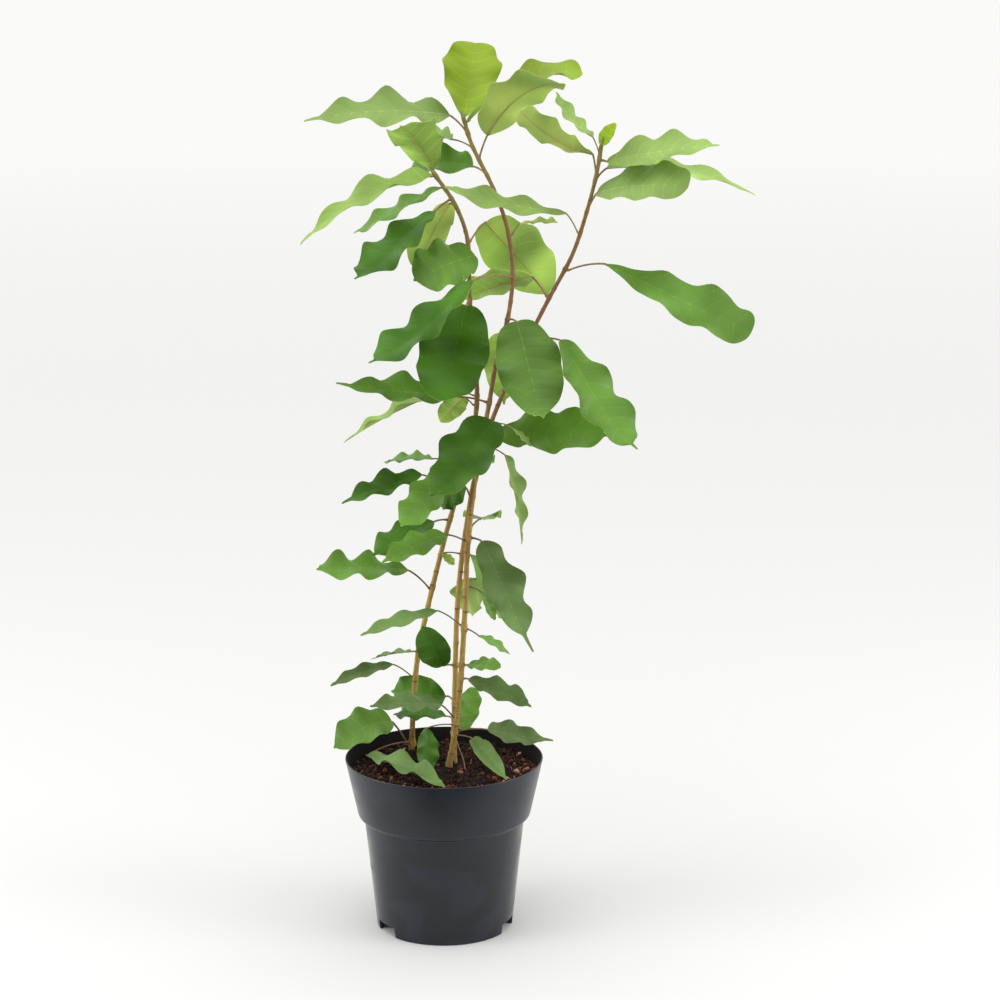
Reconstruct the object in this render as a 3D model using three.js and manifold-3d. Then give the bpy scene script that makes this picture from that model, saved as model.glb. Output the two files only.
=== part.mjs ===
// A young natal fig in a round nursery pot: three slender stems from one root clump, large wavy leaves.
// Millimetres, +Z up, +X to the right and +Y to the back as the plant is seen from its front.
// The origin is the middle of the pot's flat underside.
import * as THREE from "three";
import { mergeVertices } from "three/addons/utils/BufferGeometryUtils.js";
import Module from "manifold-3d";

const wasm = await Module();
wasm.setup();

// The pot: a 17 cm container with a flared band on top, standing on a notched foot ring.
const POT_HEIGHT = 150;
const RIM_RADIUS = 85;
const BAND_FOOT_RADIUS = 75;
const BAND_FOOT_HEIGHT = 104;
const BODY_TOP_RADIUS = 69;
const BODY_TOP_HEIGHT = 98;
const FOOT_RADIUS = 58.6;
const WALL = 1.6;
const POT_SIDES = 48;
const BAND_LIP = 2.5; // the step under the band
const RIM_ROUNDING = 1;
const BASE_PAD_RADIUS = 38; // the middle of the base stands on the floor
const BASE_CHANNEL_HEIGHT = 9.5; // a raised channel round it leads the water to the notches
const BASE_SLOPE = 3;
const FOOT_RING_WIDTH = 3;
const NOTCH_ANGLES = [-58, 70, 186]; // degrees from the front, towards the right
const NOTCH_WIDTH = 27;
const NOTCH_HEIGHT = 9;
const NOTCH_DEPTH = 16;
const FLOOR_TOP = BASE_CHANNEL_HEIGHT + WALL;

// The potting soil fills the pot to a little under its rim.
const SOIL_TOP = 140;
const SOIL_EDGE_DROP = 2.5;
const SOIL_FLAT_RADIUS = 72;

const CLEAR = 0.3; // the gap between neighbouring pieces
const STEM_SIDES = 8;
const STEM_STEP = 22; // length of one straight stretch of a stem
const ROOT_FLARE = 1.35;
const FLARE_HEIGHT = 14;

// Each stem's route rises from the soil to its tip: [right, back, up].
const STEMS = {
  left: {
    footRadius: 2.4,
    tipRadius: 1.6,
    shootFrom: 600,
    route: [
      [-29, 50, SOIL_TOP],
      [-28, 46, 176],
      [-23, 39, 230],
      [-15, 34, 270],
      [1, 27, 337],
      [15, 21, 390],
      [28, 15, 450],
      [27, 9, 500],
      [23, 5, 546],
      [21, 5, 597],
      [11, 5, 625],
      [-7, 5, 652],
    ],
  },
  centre: {
    footRadius: 2.5,
    tipRadius: 1.5,
    shootFrom: 636,
    route: [
      [4, 4, SOIL_TOP],
      [9, 3, 170],
      [14, 1, 215],
      [18, 0, 275],
      [21, 0, 340],
      [28, 0, 400],
      [38, 0, 454],
      [46, 0, 500],
      [55, 0, 534],
      [58.5, 0, 570],
      [54, 0, 606],
      [43, 0, 638],
      [25, 0, 675],
      [18, 0, 697],
    ],
  },
  right: {
    footRadius: 2.4,
    tipRadius: 1.5,
    shootFrom: 611,
    route: [
      [8, 14, SOIL_TOP],
      [9, 14, 196],
      [12, 16, 285],
      [18, 17, 340],
      [28, 16, 398],
      [41, 15, 441],
      [65, 15, 497],
      [88, 14, 544],
      [108, 10, 583],
      [119, 7, 617],
      [128, 4, 654],
      [131, 3, 674],
    ],
  },
};

// A leaf: the height where it leaves its stem, the run of its petiole and of its blade as
// [right, back, up], the blade's width, and the way its upper face looks. arch bows the blade to
// its upper face, fold lifts both halves (degrees), and twist turns it from base to tip (degrees).
// The lower base and tip are, the blunter are its two ends. wave is the height of the ripples along
// its margins as a share of its width, lobe their share in its outline, and phase shifts them along
// the blade (radians).
const PETIOLE_RADIUS = 1;
const PETIOLE_STEPS = 3;
const PETIOLE_BOW = 0.12;
const BLADE_STEPS = 12;
const BLADE_THICKNESS = 1.4;
const TIP_CROWDING = 1.3; // sets the cross-sections closer together towards the tip
const RIPPLES = 3;
const TIP_HALF_WIDTH = 0.5;
const USUAL = { arch: 0.04, fold: 12, twist: 0, base: 0.75, tip: 0.5, lobe: 0.05, wave: 0.1, phase: 0 };

const TINTS = {
  young: 0x8db83a,
  pale: 0xa9c77b,
  fresh: 0x5d9a4a,
  deep: 0x356e14,
  grey: 0x6b8f5e,
};

// The shoots: the leafy tip of each stem is one piece with the leaves that crowd on it.
const SHOOT_LEAVES = {
  left: [
    {
      up: 650, petiole: [-1, 0, 3], blade: [-26, -30, 40],
      width: 46, face: [0.3, 0.85, 0.1], arch: 0.1, fold: 20, tip: 0.4, lobe: 0.09,
    },
    {
      up: 648, petiole: [-3, 0, 1], blade: [-107, -40, -51],
      width: 26, face: [-0.35, -0.55, 0.75], arch: 0.13, fold: 24, base: 0.6, tip: 0.85, lobe: 0.12,
      wave: 0.16,
    },
    {
      up: 638, petiole: [-4, 2, 1], blade: [-74, 45, -44],
      width: 24, face: [0, -0.5, 0.85], arch: 0, wave: 0.13,
    },
    {
      up: 630, petiole: [-14, -6, -10], blade: [-64, -50, -48],
      width: 42, face: [-0.5, -0.6, 0.6], base: 0.7, tip: 0.42, phase: 2,
    },
    {
      up: 624, petiole: [-5, 4, 2], blade: [-31, 40, -64],
      width: 32, face: [-0.3, 0.9, 0.3], base: 0.6,
    },
  ],
  centre: [
    {
      up: 695, petiole: [0, 0, 2], blade: [9, 45, 57],
      width: 49, face: [0, -1, 0.1], fold: 14, base: 0.85, wave: 0.07, phase: 2,
    },
    {
      up: 685, petiole: [-1, 5, 8], blade: [95, 40, 38],
      width: 42, face: [-0.5, 0.15, 0.85], arch: 0.14, twist: 45, tip: 0.4,
    },
    {
      up: 663, petiole: [7, -3, 20], blade: [58, -45, 46],
      width: 50, face: [-0.35, 0.75, 0.55], arch: 0.2, base: 0.5, tip: 0.45, lobe: 0.03, wave: 0.06,
    },
    {
      up: 684, petiole: [-15, 10, 14], blade: [-117, -38, -1],
      width: 36, face: [0, -0.6, 0.8], arch: 0.08, base: 0.6, tip: 0.75, lobe: 0.14, wave: 0.15,
    },
    { up: 672, petiole: [-18, 13, 6], blade: [-30, 50, 0], width: 24, face: [0, -0.3, 0.95] },
    {
      up: 650, petiole: [-12, 20, 5], blade: [-60, 45, -16],
      width: 36, face: [0, -0.6, 0.8], arch: 0.16, base: 0.55, tip: 0.6, lobe: 0.04,
    },
  ],
  right: [
    {
      up: 672, petiole: [0, 0, 2], blade: [12, 0, 18],
      width: 14, face: [-0.5, -0.7, 0.4], base: 0.55, tip: 0.7, lobe: 0, wave: 0.03,
    },
    {
      up: 650, petiole: [-3, 0, 17], blade: [-60, -40, 39],
      width: 29, face: [0.1, 0.7, 0.7], arch: -0.12, base: 0.85, tip: 0.3, lobe: 0.08,
    },
    {
      up: 666, petiole: [-6, 3, 15], blade: [-29, 35, 33],
      width: 20, face: [0.6, -0.5, 0.5], arch: -0.12, base: 0.6,
    },
    {
      up: 662, petiole: [6, -1, -1], blade: [90, -35, 17],
      width: 36, face: [0, -0.75, 0.65], twist: -30, tip: 0.7, lobe: 0.2, phase: 2.2,
    },
    {
      up: 645, petiole: [10, 5, 10], blade: [124, 20, -25],
      width: 30, face: [0, -0.3, 0.95], arch: 0.1, base: 0.6, tip: 0.8, lobe: 0.12,
    },
    {
      up: 619, petiole: [8, -4, 16], blade: [72, -45, 10],
      width: 47, face: [0, -0.6, 0.8], arch: 0.08, base: 0.55, tip: 0.3, lobe: 0.02, wave: 0.05,
    },
  ],
};

// The leaves below the shoots, each a piece of its own.
const LEAVES = {
  left: [
    {
      up: 144, petiole: [-14, -6, 24], blade: [-50, -14, -20],
      width: 38, face: [-0.2, -0.6, 0.8], arch: 0.2, base: 0.5, tip: 0.6, lobe: 0.04, wave: 0.07,
      tint: "fresh",
    },
    {
      up: 148, petiole: [-36, -35, -1], blade: [69, -87, 1],
      width: 24, face: [0, -0.25, 0.97], fold: 24, base: 0.6, tip: 0.6, lobe: 0.14, wave: 0.18,
      tint: "grey",
    },
    {
      up: 209, petiole: [-16, -6, 13], blade: [-52, -35, -9],
      width: 15, face: [0, -0.5, 0.85], arch: 0.08, tip: 0.7, tint: "grey",
    },
    {
      up: 233, petiole: [-3, -3, 1], blade: [-37, 30, -16],
      width: 14, face: [0, -0.1, 0.99], tip: 0.6, tint: "grey",
    },
    {
      up: 291, petiole: [-17, -12, 19], blade: [-76, -40, 11],
      width: 28, face: [0, -0.55, 0.83], base: 0.7, tip: 0.4, lobe: 0.22, wave: 0.14, tint: "fresh",
    },
    {
      up: 353, petiole: [-11, -6, 0], blade: [-51, -45, -19],
      width: 28, face: [-0.2, -0.7, 0.65], lobe: 0.1, tint: "deep",
    },
    {
      up: 376, petiole: [-26, -14, 20], blade: [-67, -25, -19],
      width: 24, face: [0, -0.6, 0.8], fold: 24, tip: 0.7, lobe: 0.1, wave: 0.16, tint: "deep",
    },
    {
      up: 402, petiole: [-25, -12, 8], blade: [-42, 40, -12],
      width: 20, face: [-0.1, -0.2, 0.96], tint: "fresh",
    },
    {
      up: 455, petiole: [-8, -3, 8], blade: [-20, 30, -28],
      width: 20, face: [0.3, 0.8, 0.5], base: 0.5, tint: "pale",
    },
    {
      up: 463, petiole: [-26, 6, 3], blade: [-86, 35, -52],
      width: 20, face: [-0.4, -0.2, 0.9], fold: 26, tip: 0.8, lobe: 0.12, wave: 0.16, tint: "pale",
    },
    {
      up: 546, petiole: [-2, -6, -3], blade: [-21, -50, -71],
      width: 59, face: [-0.1, -0.95, 0.3], base: 0.5, lobe: 0.03, wave: 0.08, tint: "deep",
    },
    {
      up: 573, petiole: [3, -4, 11], blade: [-50, -26, -17],
      width: 46, face: [0, -0.75, 0.65], arch: 0.08, fold: 7, base: 0.55, tip: 0.45, lobe: 0.04,
      tint: "fresh",
    },
    {
      up: 594, petiole: [13, 18, 14], blade: [54, 50, -70],
      width: 54, face: [-0.1, 0.87, 0.45], base: 0.5, lobe: 0.04, wave: 0.05, phase: 0.5, tint: "pale",
    },
    {
      up: 500, petiole: [-4, 18, 6], blade: [-18, 58, -16],
      width: 34, face: [-0.2, 0.2, 0.95], tint: "deep",
    },
  ],
  centre: [
    {
      up: 178, petiole: [-23, -14, 1], blade: [2, -6, -35],
      width: 20, face: [0.3, -0.8, 0.3], base: 0.6, tint: "deep",
    },
    {
      up: 185, petiole: [-10, -4, 12], blade: [-59, -35, 9],
      width: 26, face: [0, -0.35, 0.93], base: 0.6, tip: 0.7, tint: "grey",
    },
    {
      up: 169, petiole: [13, -6, -1], blade: [29, -56, -18],
      width: 19, face: [-0.5, 0, 0.85], fold: 35, base: 0.6, tip: 0.6, tint: "grey",
    },
    {
      up: 220, petiole: [4, -1, 0], blade: [53, -35, -14],
      width: 23, face: [0.3, -0.6, 0.75], base: 0.6, lobe: 0.09, wave: 0.13, tint: "grey",
    },
    {
      up: 232, petiole: [3, -1, 1], blade: [27, -30, 6],
      width: 16, face: [0, -0.6, 0.8], base: 0.5, tint: "fresh",
    },
    {
      up: 264, petiole: [10, -1, -6], blade: [26, 25, -23],
      width: 12, face: [0.4, -0.5, 0.75], tint: "fresh",
    },
    {
      up: 267, petiole: [-19, -4, 14], blade: [-64, -35, -12],
      width: 17, face: [0, -0.4, 0.9], tip: 0.7, tint: "grey",
    },
    {
      up: 301, petiole: [11, 3, -6], blade: [11, 3, -25],
      width: 10, face: [0.3, -0.7, 0.5], tint: "fresh",
    },
    {
      up: 305, petiole: [14, 22, -4], blade: [-22, 35, -35],
      width: 32, face: [0, -0.9, 0.4], tint: "pale",
    },
    {
      up: 328, petiole: [2, 5, -1], blade: [30, 35, -67],
      width: 26, face: [0.3, -0.7, 0.6], tint: "fresh",
    },
    {
      up: 341, petiole: [-16, -6, 7], blade: [-52, -40, -14],
      width: 26, face: [-0.1, -0.6, 0.8], base: 0.6, tip: 0.6, lobe: 0.08, tint: "fresh",
    },
    {
      up: 344, petiole: [9, -3, -2], blade: [43, -45, -84],
      width: 35, face: [0.3, -0.85, 0.45], base: 0.6, tip: 0.62, lobe: 0.12, wave: 0.12, tint: "grey",
    },
    {
      up: 380, petiole: [-3, -3, 8], blade: [-26, 12, -9],
      width: 34, face: [0, -0.9, 0.4], base: 0.5, tint: "deep",
    },
    {
      up: 402, petiole: [-22, -14, 2], blade: [-38, -35, -38],
      width: 32, face: [-0.3, -0.8, 0.5], base: 0.55, lobe: 0.08, tint: "fresh",
    },
    {
      up: 424, petiole: [18, 2, -9], blade: [14, 25, -83],
      width: 20, face: [0.8, -0.5, 0.2], fold: 30, base: 0.6, tip: 0.8, lobe: 0.14, wave: 0.16,
      tint: "pale",
    },
    {
      up: 444, petiole: [5, -5, 2], blade: [-52, -55, -52],
      width: 50, face: [-0.3, -0.75, 0.6], base: 0.5, tip: 0.75, wave: 0.08, tint: "deep",
    },
    {
      up: 460, petiole: [-32, -4, 5], blade: [-92, -20, 16],
      width: 30, face: [0, -0.6, 0.8], fold: 20, base: 0.55, tip: 0.85, lobe: 0.1, wave: 0.13,
      tint: "fresh",
    },
    {
      up: 517, petiole: [-1, 20, -2], blade: [2, 40, -69],
      width: 34, face: [0, 0.9, 0.3], base: 0.55, tip: 0.6, lobe: 0.03, wave: 0.05, tint: "pale",
    },
    {
      up: 531, petiole: [6, -10, 0], blade: [22, -50, -71],
      width: 55, face: [0.15, -0.95, 0.25], base: 0.5, tip: 0.55, lobe: 0.03, wave: 0.08, tint: "fresh",
    },
    {
      up: 566, petiole: [-29, -33, 3], blade: [-86, -38, -62],
      width: 42, face: [-0.5, -0.5, 0.7], arch: -0.03, base: 0.8, tip: 0.42, lobe: 0.07, tint: "deep",
    },
    { up: 600, petiole: [6, 2, 9], blade: [32, 30, -3], width: 14, face: [0, 0.5, 0.85], tint: "pale" },
    {
      up: 395, petiole: [6, 18, 6], blade: [-10, 58, -16],
      width: 34, face: [-0.2, 0.2, 0.95], tint: "fresh",
    },
    {
      up: 352, petiole: [8, 15, 4], blade: [3, 58, -15],
      width: 34, face: [0, 0.25, 0.97], tint: "deep",
    },
  ],
  right: [
    {
      up: 165, petiole: [4, 4, 2], blade: [11, 25, 31],
      width: 20, face: [0, -1, 0], base: 0.5, tint: "fresh",
    },
    {
      up: 168, petiole: [26, 2, 1], blade: [57, 19, -16],
      width: 26, face: [0, -0.5, 0.85], arch: -0.02, base: 0.5, tip: 0.75, tint: "grey",
    },
    {
      up: 180, petiole: [-5, 4, 0], blade: [-46, 14, -3],
      width: 22, face: [0, -0.3, 0.95], tint: "deep",
    },
    {
      up: 194, petiole: [-8, 32, -5], blade: [-48, 25, -3],
      width: 36, face: [0, -1, 0.15], base: 0.5, tint: "deep",
    },
    {
      up: 228, petiole: [-9, -10, 2], blade: [-16, -25, 43],
      width: 28, face: [0, -1, 0], base: 0.55, tip: 0.55, lobe: 0.02, wave: 0.04, tint: "deep",
    },
    {
      up: 325, petiole: [-15, 6, -1], blade: [10, 3, -11],
      width: 8, face: [0, 0.9, 0.3], tint: "pale",
    },
    {
      up: 424, petiole: [4, 2, 3], blade: [97, -40, 10],
      width: 49, face: [0, -0.6, 0.8], arch: 0.12, base: 0.8, tip: 0.55, tint: "fresh",
    },
    {
      up: 439, petiole: [18, -36, 4], blade: [14, -5, -14],
      width: 10, face: [0.6, -0.3, 0.7], tint: "pale",
    },
    {
      up: 501, petiole: [3, -8, 4], blade: [7, -12, -55],
      width: 30, face: [0.2, 0.8, 0.5], base: 0.55, tint: "pale",
    },
    {
      up: 512, petiole: [24, -14, 2], blade: [63, -45, -83],
      width: 45, face: [0.5, -0.7, 0.5], arch: 0, base: 0.6, tip: 0.38, lobe: 0.08, wave: 0.13,
      tint: "fresh",
    },
    {
      up: 546, petiole: [-12, 4, 16], blade: [-61, 35, -26],
      width: 40, face: [0, 0.6, 0.8], base: 0.55, lobe: 0.04, wave: 0.05, tint: "pale",
    },
    {
      up: 571, petiole: [30, -10, 7], blade: [119, -30, -53],
      width: 44, face: [0.3, -0.75, 0.6], arch: 0, base: 0.95, tip: 0.34, lobe: 0.06, wave: 0.13,
      tint: "fresh",
    },
    {
      up: 601, petiole: [-10, -14, 18], blade: [-99, -25, 25],
      width: 16, face: [0.1, -0.85, 0.5], arch: -0.07, lobe: 0.34, phase: 1.6, tint: "pale",
    },
    {
      up: 480, petiole: [12, 14, 6], blade: [30, 58, -20],
      width: 34, face: [0.2, 0.2, 0.95], tint: "deep",
    },
  ],
};

const UP = new THREE.Vector3(0, 0, 1);
const vector = ([right, back, up]) => new THREE.Vector3(right, back, up);

// A closed solid through rings of points, each ring turning the same way, with flat ends. The two
// halves of a ring split their quads alike, so that the faces of a thin section never cross.
function loft(rings) {
  const sides = rings[0].length;
  const points = rings.flat();
  const faces = [];
  for (let r = 0; r + 1 < rings.length; r++) {
    for (let i = 0; i < sides; i++) {
      const a = r * sides + i;
      const b = r * sides + ((i + 1) % sides);
      if (2 * i < sides) faces.push(a, b, b + sides, a, b + sides, a + sides);
      else faces.push(a, b, a + sides, b, b + sides, a + sides);
    }
  }
  const last = (rings.length - 1) * sides;
  for (let i = 1; i + 1 < sides; i++) {
    faces.push(0, i + 1, i);
    faces.push(last, last + i, last + i + 1);
  }
  return new THREE.BufferGeometry().setFromPoints(points).setIndex(faces);
}

function solidOf(geometry) {
  const bare = geometry.clone();
  bare.deleteAttribute("normal");
  bare.deleteAttribute("uv");
  const merged = mergeVertices(bare, 1e-3);
  return new wasm.Manifold(
    new wasm.Mesh({
      numProp: 3,
      vertProperties: new Float32Array(merged.attributes.position.array),
      triVerts: new Uint32Array(merged.index.array),
    }),
  );
}

function geometryOf(solid) {
  const { vertProperties, triVerts } = solid.getMesh();
  return new THREE.BufferGeometry()
    .setAttribute("position", new THREE.BufferAttribute(vertProperties, 3))
    .setIndex(new THREE.BufferAttribute(triVerts, 1));
}

// Carries a normal from one direction of travel to the next without spinning it.
function carry(normal, from, to) {
  const turn = new THREE.Quaternion().setFromUnitVectors(from, to);
  return normal.clone().applyQuaternion(turn).projectOnPlane(to).normalize();
}

// How broad a blade is at a place from its base (0) to its tip (1), as a share of its full width.
function breadth(leaf, place) {
  const broadest = leaf.base / (leaf.base + leaf.tip);
  const shape = (at) => at ** leaf.base * (1 - at) ** leaf.tip;
  return shape(place) / shape(broadest);
}

const stemCurve = (stem) => new THREE.CatmullRomCurve3(stem.route.map(vector));

// The place along a stem's curve, from 0 to 1, where it reaches a height.
function placeAtHeight(curve, height) {
  let low = 0;
  let high = 1;
  for (let i = 0; i < 30; i++) {
    const middle = (low + high) / 2;
    if (curve.getPointAt(middle).z < height) low = middle;
    else high = middle;
  }
  return low;
}

function stemRadius(stem, place) {
  return THREE.MathUtils.lerp(stem.footRadius, stem.tipRadius, place);
}

// The stretch of a stem between two places along it.
function stemGeometry(stem, from, to) {
  const curve = stemCurve(stem);
  const steps = Math.max(2, Math.round(((to - from) * curve.getLength()) / STEM_STEP));
  const flares = from === 0;
  const places = flares ? [0, FLARE_HEIGHT / curve.getLength()] : [from];
  for (let i = 1; i <= steps; i++) {
    places.push(THREE.MathUtils.lerp(places[flares ? 1 : 0], to, i / steps));
  }
  let along = curve.getTangentAt(from);
  let normal = new THREE.Vector3(0, -1, 0).projectOnPlane(along).normalize();
  const rings = places.map((place, index) => {
    const tangent = curve.getTangentAt(place);
    normal = carry(normal, along, tangent);
    along = tangent;
    const across = new THREE.Vector3().crossVectors(tangent, normal);
    const radius = stemRadius(stem, place) * (flares && index === 0 ? ROOT_FLARE : 1);
    const middle = curve.getPointAt(place);
    return Array.from({ length: STEM_SIDES }, (_, side) => {
      const angle = (side / STEM_SIDES) * 2 * Math.PI;
      const point = middle
        .clone()
        .addScaledVector(normal, radius * Math.cos(angle))
        .addScaledVector(across, radius * Math.sin(angle));
      if (flares && index === 0) point.z = SOIL_TOP + CLEAR; // cut flat on the soil
      return point;
    });
  });
  return loft(rings);
}

// The way a petiole sets off from its stem: half its run, raised by its bow.
function settingOff(petiole) {
  return petiole.clone().divideScalar(2).addScaledVector(UP, PETIOLE_BOW * petiole.length());
}

// One leaf from its foot to its tip: a four-sided petiole that opens into a kite-shaped section.
function leafGeometry(row, foot) {
  const leaf = { ...USUAL, ...row };
  const petiole = vector(leaf.petiole);
  const blade = vector(leaf.blade);
  const base = foot.clone().add(petiole);
  const tip = base.clone().add(blade);
  const face = vector(leaf.face).projectOnPlane(blade.clone().normalize()).normalize();
  const arch = face.clone().multiplyScalar(leaf.arch * blade.length());
  const stalk = new THREE.QuadraticBezierCurve3(foot, foot.clone().add(settingOff(petiole)), base);
  const midrib = new THREE.CubicBezierCurve3(
    base,
    base.clone().lerp(tip, 1 / 3).add(arch),
    base.clone().lerp(tip, 2 / 3).add(arch),
    tip,
  );

  // A kite: the left margin, the underside of the midrib, the right margin and the midrib's top.
  const kite = (middle, tangent, normal, half, thickness, lifts) => {
    const side = new THREE.Vector3().crossVectors(normal, tangent);
    const corner = (across, lift) =>
      middle.clone().addScaledVector(side, across).addScaledVector(normal, lift);
    return [
      corner(-half, lifts[0]),
      corner(0, -thickness / 2),
      corner(half, lifts[1]),
      corner(0, thickness / 2),
    ];
  };

  const rings = [];
  let along = midrib.getTangentAt(0);
  let normal = face.clone().projectOnPlane(along).normalize();
  // The petiole's rings are carried back from the blade's base, so the two join without a turn.
  let back = along;
  let carried = normal;
  for (let i = PETIOLE_STEPS - 1; i >= 0; i--) {
    const place = i / PETIOLE_STEPS;
    const tangent = stalk.getTangent(place);
    carried = carry(carried, back, tangent);
    back = tangent;
    rings.unshift(
      kite(stalk.getPoint(place), tangent, carried, PETIOLE_RADIUS, 2 * PETIOLE_RADIUS, [0, 0]),
    );
  }

  const fold = THREE.MathUtils.degToRad(leaf.fold);
  const twist = THREE.MathUtils.degToRad(leaf.twist);
  for (let i = 0; i <= BLADE_STEPS; i++) {
    const place = 1 - (1 - i / BLADE_STEPS) ** TIP_CROWDING;
    const tangent = midrib.getTangentAt(place);
    normal = carry(normal, along, tangent);
    along = tangent;
    const broad = breadth(leaf, place);
    const turn = 2 * Math.PI * RIPPLES * place + leaf.phase;
    const narrowest = i === BLADE_STEPS ? TIP_HALF_WIDTH : PETIOLE_RADIUS;
    const half = Math.max(narrowest, (leaf.width / 2) * broad * (1 + leaf.lobe * Math.sin(turn)));
    const ripple = leaf.width * leaf.wave * broad;
    const rise = half > PETIOLE_RADIUS ? half * Math.sin(fold) : 0;
    const lifts = [rise + ripple * Math.sin(turn), rise + ripple * Math.cos(turn)];
    const across = half > PETIOLE_RADIUS ? half * Math.cos(fold) : half;
    const turned = normal.clone().applyAxisAngle(tangent, twist * place);
    const thickness = i === BLADE_STEPS ? 2 * TIP_HALF_WIDTH : BLADE_THICKNESS;
    rings.push(kite(midrib.getPointAt(place), tangent, turned, across, thickness, lifts));
  }
  return loft(rings);
}

// Where a leaf starts: on the stem's middle line, or with the end of its petiole clear of the bark.
function leafFoot(stem, leaf, sunk) {
  const curve = stemCurve(stem);
  const place = placeAtHeight(curve, leaf.up);
  const foot = curve.getPointAt(place);
  if (sunk) return foot;
  const way = settingOff(vector(leaf.petiole)).normalize();
  const outward = way.clone().projectOnPlane(curve.getTangentAt(place)).normalize();
  const slant = Math.sin(way.angleTo(outward));
  return foot.addScaledVector(outward, stemRadius(stem, place) + CLEAR + PETIOLE_RADIUS * slant);
}

// The inside of the pot's wall from its floor to its rim, as [radius, height].
const INSIDE = [
  [FOOT_RADIUS - WALL, FLOOR_TOP],
  [BODY_TOP_RADIUS - WALL, BODY_TOP_HEIGHT],
  [BAND_FOOT_RADIUS - WALL, BAND_FOOT_HEIGHT],
  [RIM_RADIUS - WALL, POT_HEIGHT],
];

// Turns a profile of [radius, height] points, going up on the outside, round the pot's axis.
function turned(profile) {
  const points = profile.map(([radius, height]) => new THREE.Vector2(radius, height));
  return new THREE.LatheGeometry(points, POT_SIDES).rotateX(Math.PI / 2);
}

// The pot turned round its axis, with the notches cut through its foot ring.
function potGeometry() {
  const outside = [
    [0, 0],
    [BASE_PAD_RADIUS, 0],
    [BASE_PAD_RADIUS + BASE_SLOPE, BASE_CHANNEL_HEIGHT],
    [FOOT_RADIUS - FOOT_RING_WIDTH, BASE_CHANNEL_HEIGHT],
    [FOOT_RADIUS - FOOT_RING_WIDTH, 0],
    [FOOT_RADIUS, 0],
    [BODY_TOP_RADIUS, BODY_TOP_HEIGHT],
    [BODY_TOP_RADIUS + BAND_LIP, BODY_TOP_HEIGHT + BAND_LIP / 2],
    [BAND_FOOT_RADIUS, BAND_FOOT_HEIGHT],
    [RIM_RADIUS, POT_HEIGHT - RIM_ROUNDING],
    [RIM_RADIUS - RIM_ROUNDING / 2, POT_HEIGHT],
  ];
  const floor = [
    [BASE_PAD_RADIUS + BASE_SLOPE - WALL, FLOOR_TOP],
    [BASE_PAD_RADIUS - WALL, WALL],
    [0, WALL],
  ];
  const notches = NOTCH_ANGLES.map((angle) =>
    solidOf(
      new THREE.BoxGeometry(NOTCH_WIDTH, NOTCH_DEPTH, 2 * NOTCH_HEIGHT)
        .translate(0, -FOOT_RADIUS, 0)
        .rotateZ(THREE.MathUtils.degToRad(angle)),
    ),
  );
  const body = solidOf(turned([...outside, ...INSIDE.toReversed(), ...floor]));
  return geometryOf(notches.reduce((pot, notch) => pot.subtract(notch), body));
}

function soilGeometry() {
  const edge = SOIL_TOP - SOIL_EDGE_DROP;
  const share = (edge - BAND_FOOT_HEIGHT) / (POT_HEIGHT - BAND_FOOT_HEIGHT);
  const edgeRadius = THREE.MathUtils.lerp(BAND_FOOT_RADIUS, RIM_RADIUS, share) - WALL;
  const side = [...INSIDE.slice(0, -1), [edgeRadius, edge]];
  return turned([
    [0, FLOOR_TOP + CLEAR],
    [side[0][0] - CLEAR, FLOOR_TOP + CLEAR],
    ...side.slice(1).map(([radius, height]) => [radius - CLEAR, height]),
    [SOIL_FLAT_RADIUS, SOIL_TOP],
    [0, SOIL_TOP],
  ]);
}

const plastic = new THREE.MeshStandardMaterial({ color: 0x3a3f45, roughness: 0.45, metalness: 0 });
const peat = new THREE.MeshStandardMaterial({ color: 0x2a1d17, roughness: 1, metalness: 0 });
const bark = new THREE.MeshStandardMaterial({ color: 0x8f6f3f, roughness: 0.8, metalness: 0 });
const foliage = Object.fromEntries(
  Object.entries(TINTS).map(([tint, color]) => [
    tint,
    new THREE.MeshStandardMaterial({ color, roughness: 0.5, metalness: 0 }),
  ]),
);

const plant = new THREE.Group();

function place(name, geometry, material) {
  const mesh = new THREE.Mesh(geometry, material);
  mesh.name = name;
  plant.add(mesh);
}

place("pot", potGeometry(), plastic);
place("soil", soilGeometry(), peat);

for (const [side, stem] of Object.entries(STEMS)) {
  const curve = stemCurve(stem);
  const parting = placeAtHeight(curve, stem.shootFrom);
  const gap = CLEAR / curve.getLength();
  place(`stem_${side}`, stemGeometry(stem, 0, parting), bark);

  let shoot = solidOf(stemGeometry(stem, parting + gap, 1));
  for (const leaf of SHOOT_LEAVES[side]) {
    shoot = shoot.add(solidOf(leafGeometry(leaf, leafFoot(stem, leaf, true))));
  }
  place(`shoot_${side}`, geometryOf(shoot), foliage.young);

  LEAVES[side].forEach((leaf, index) => {
    const name = `leaf_${side}_${String(index + 1).padStart(2, "0")}`;
    place(name, leafGeometry(leaf, leafFoot(stem, leaf, false)), foliage[leaf.tint]);
  });
}

export default plant;
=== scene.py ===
"""The looks of a young natal fig in its round nursery pot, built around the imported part.

Sizes are in millimetres and become metres where a mesh is made. +Z is up, +X right and +Y back as
the plant is seen from its front, and the origin is the middle of the pot's flat underside.
"""

import logging
import math
from dataclasses import dataclass, field
from enum import Enum

import bpy
import numpy as np
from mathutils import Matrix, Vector, noise

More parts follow.
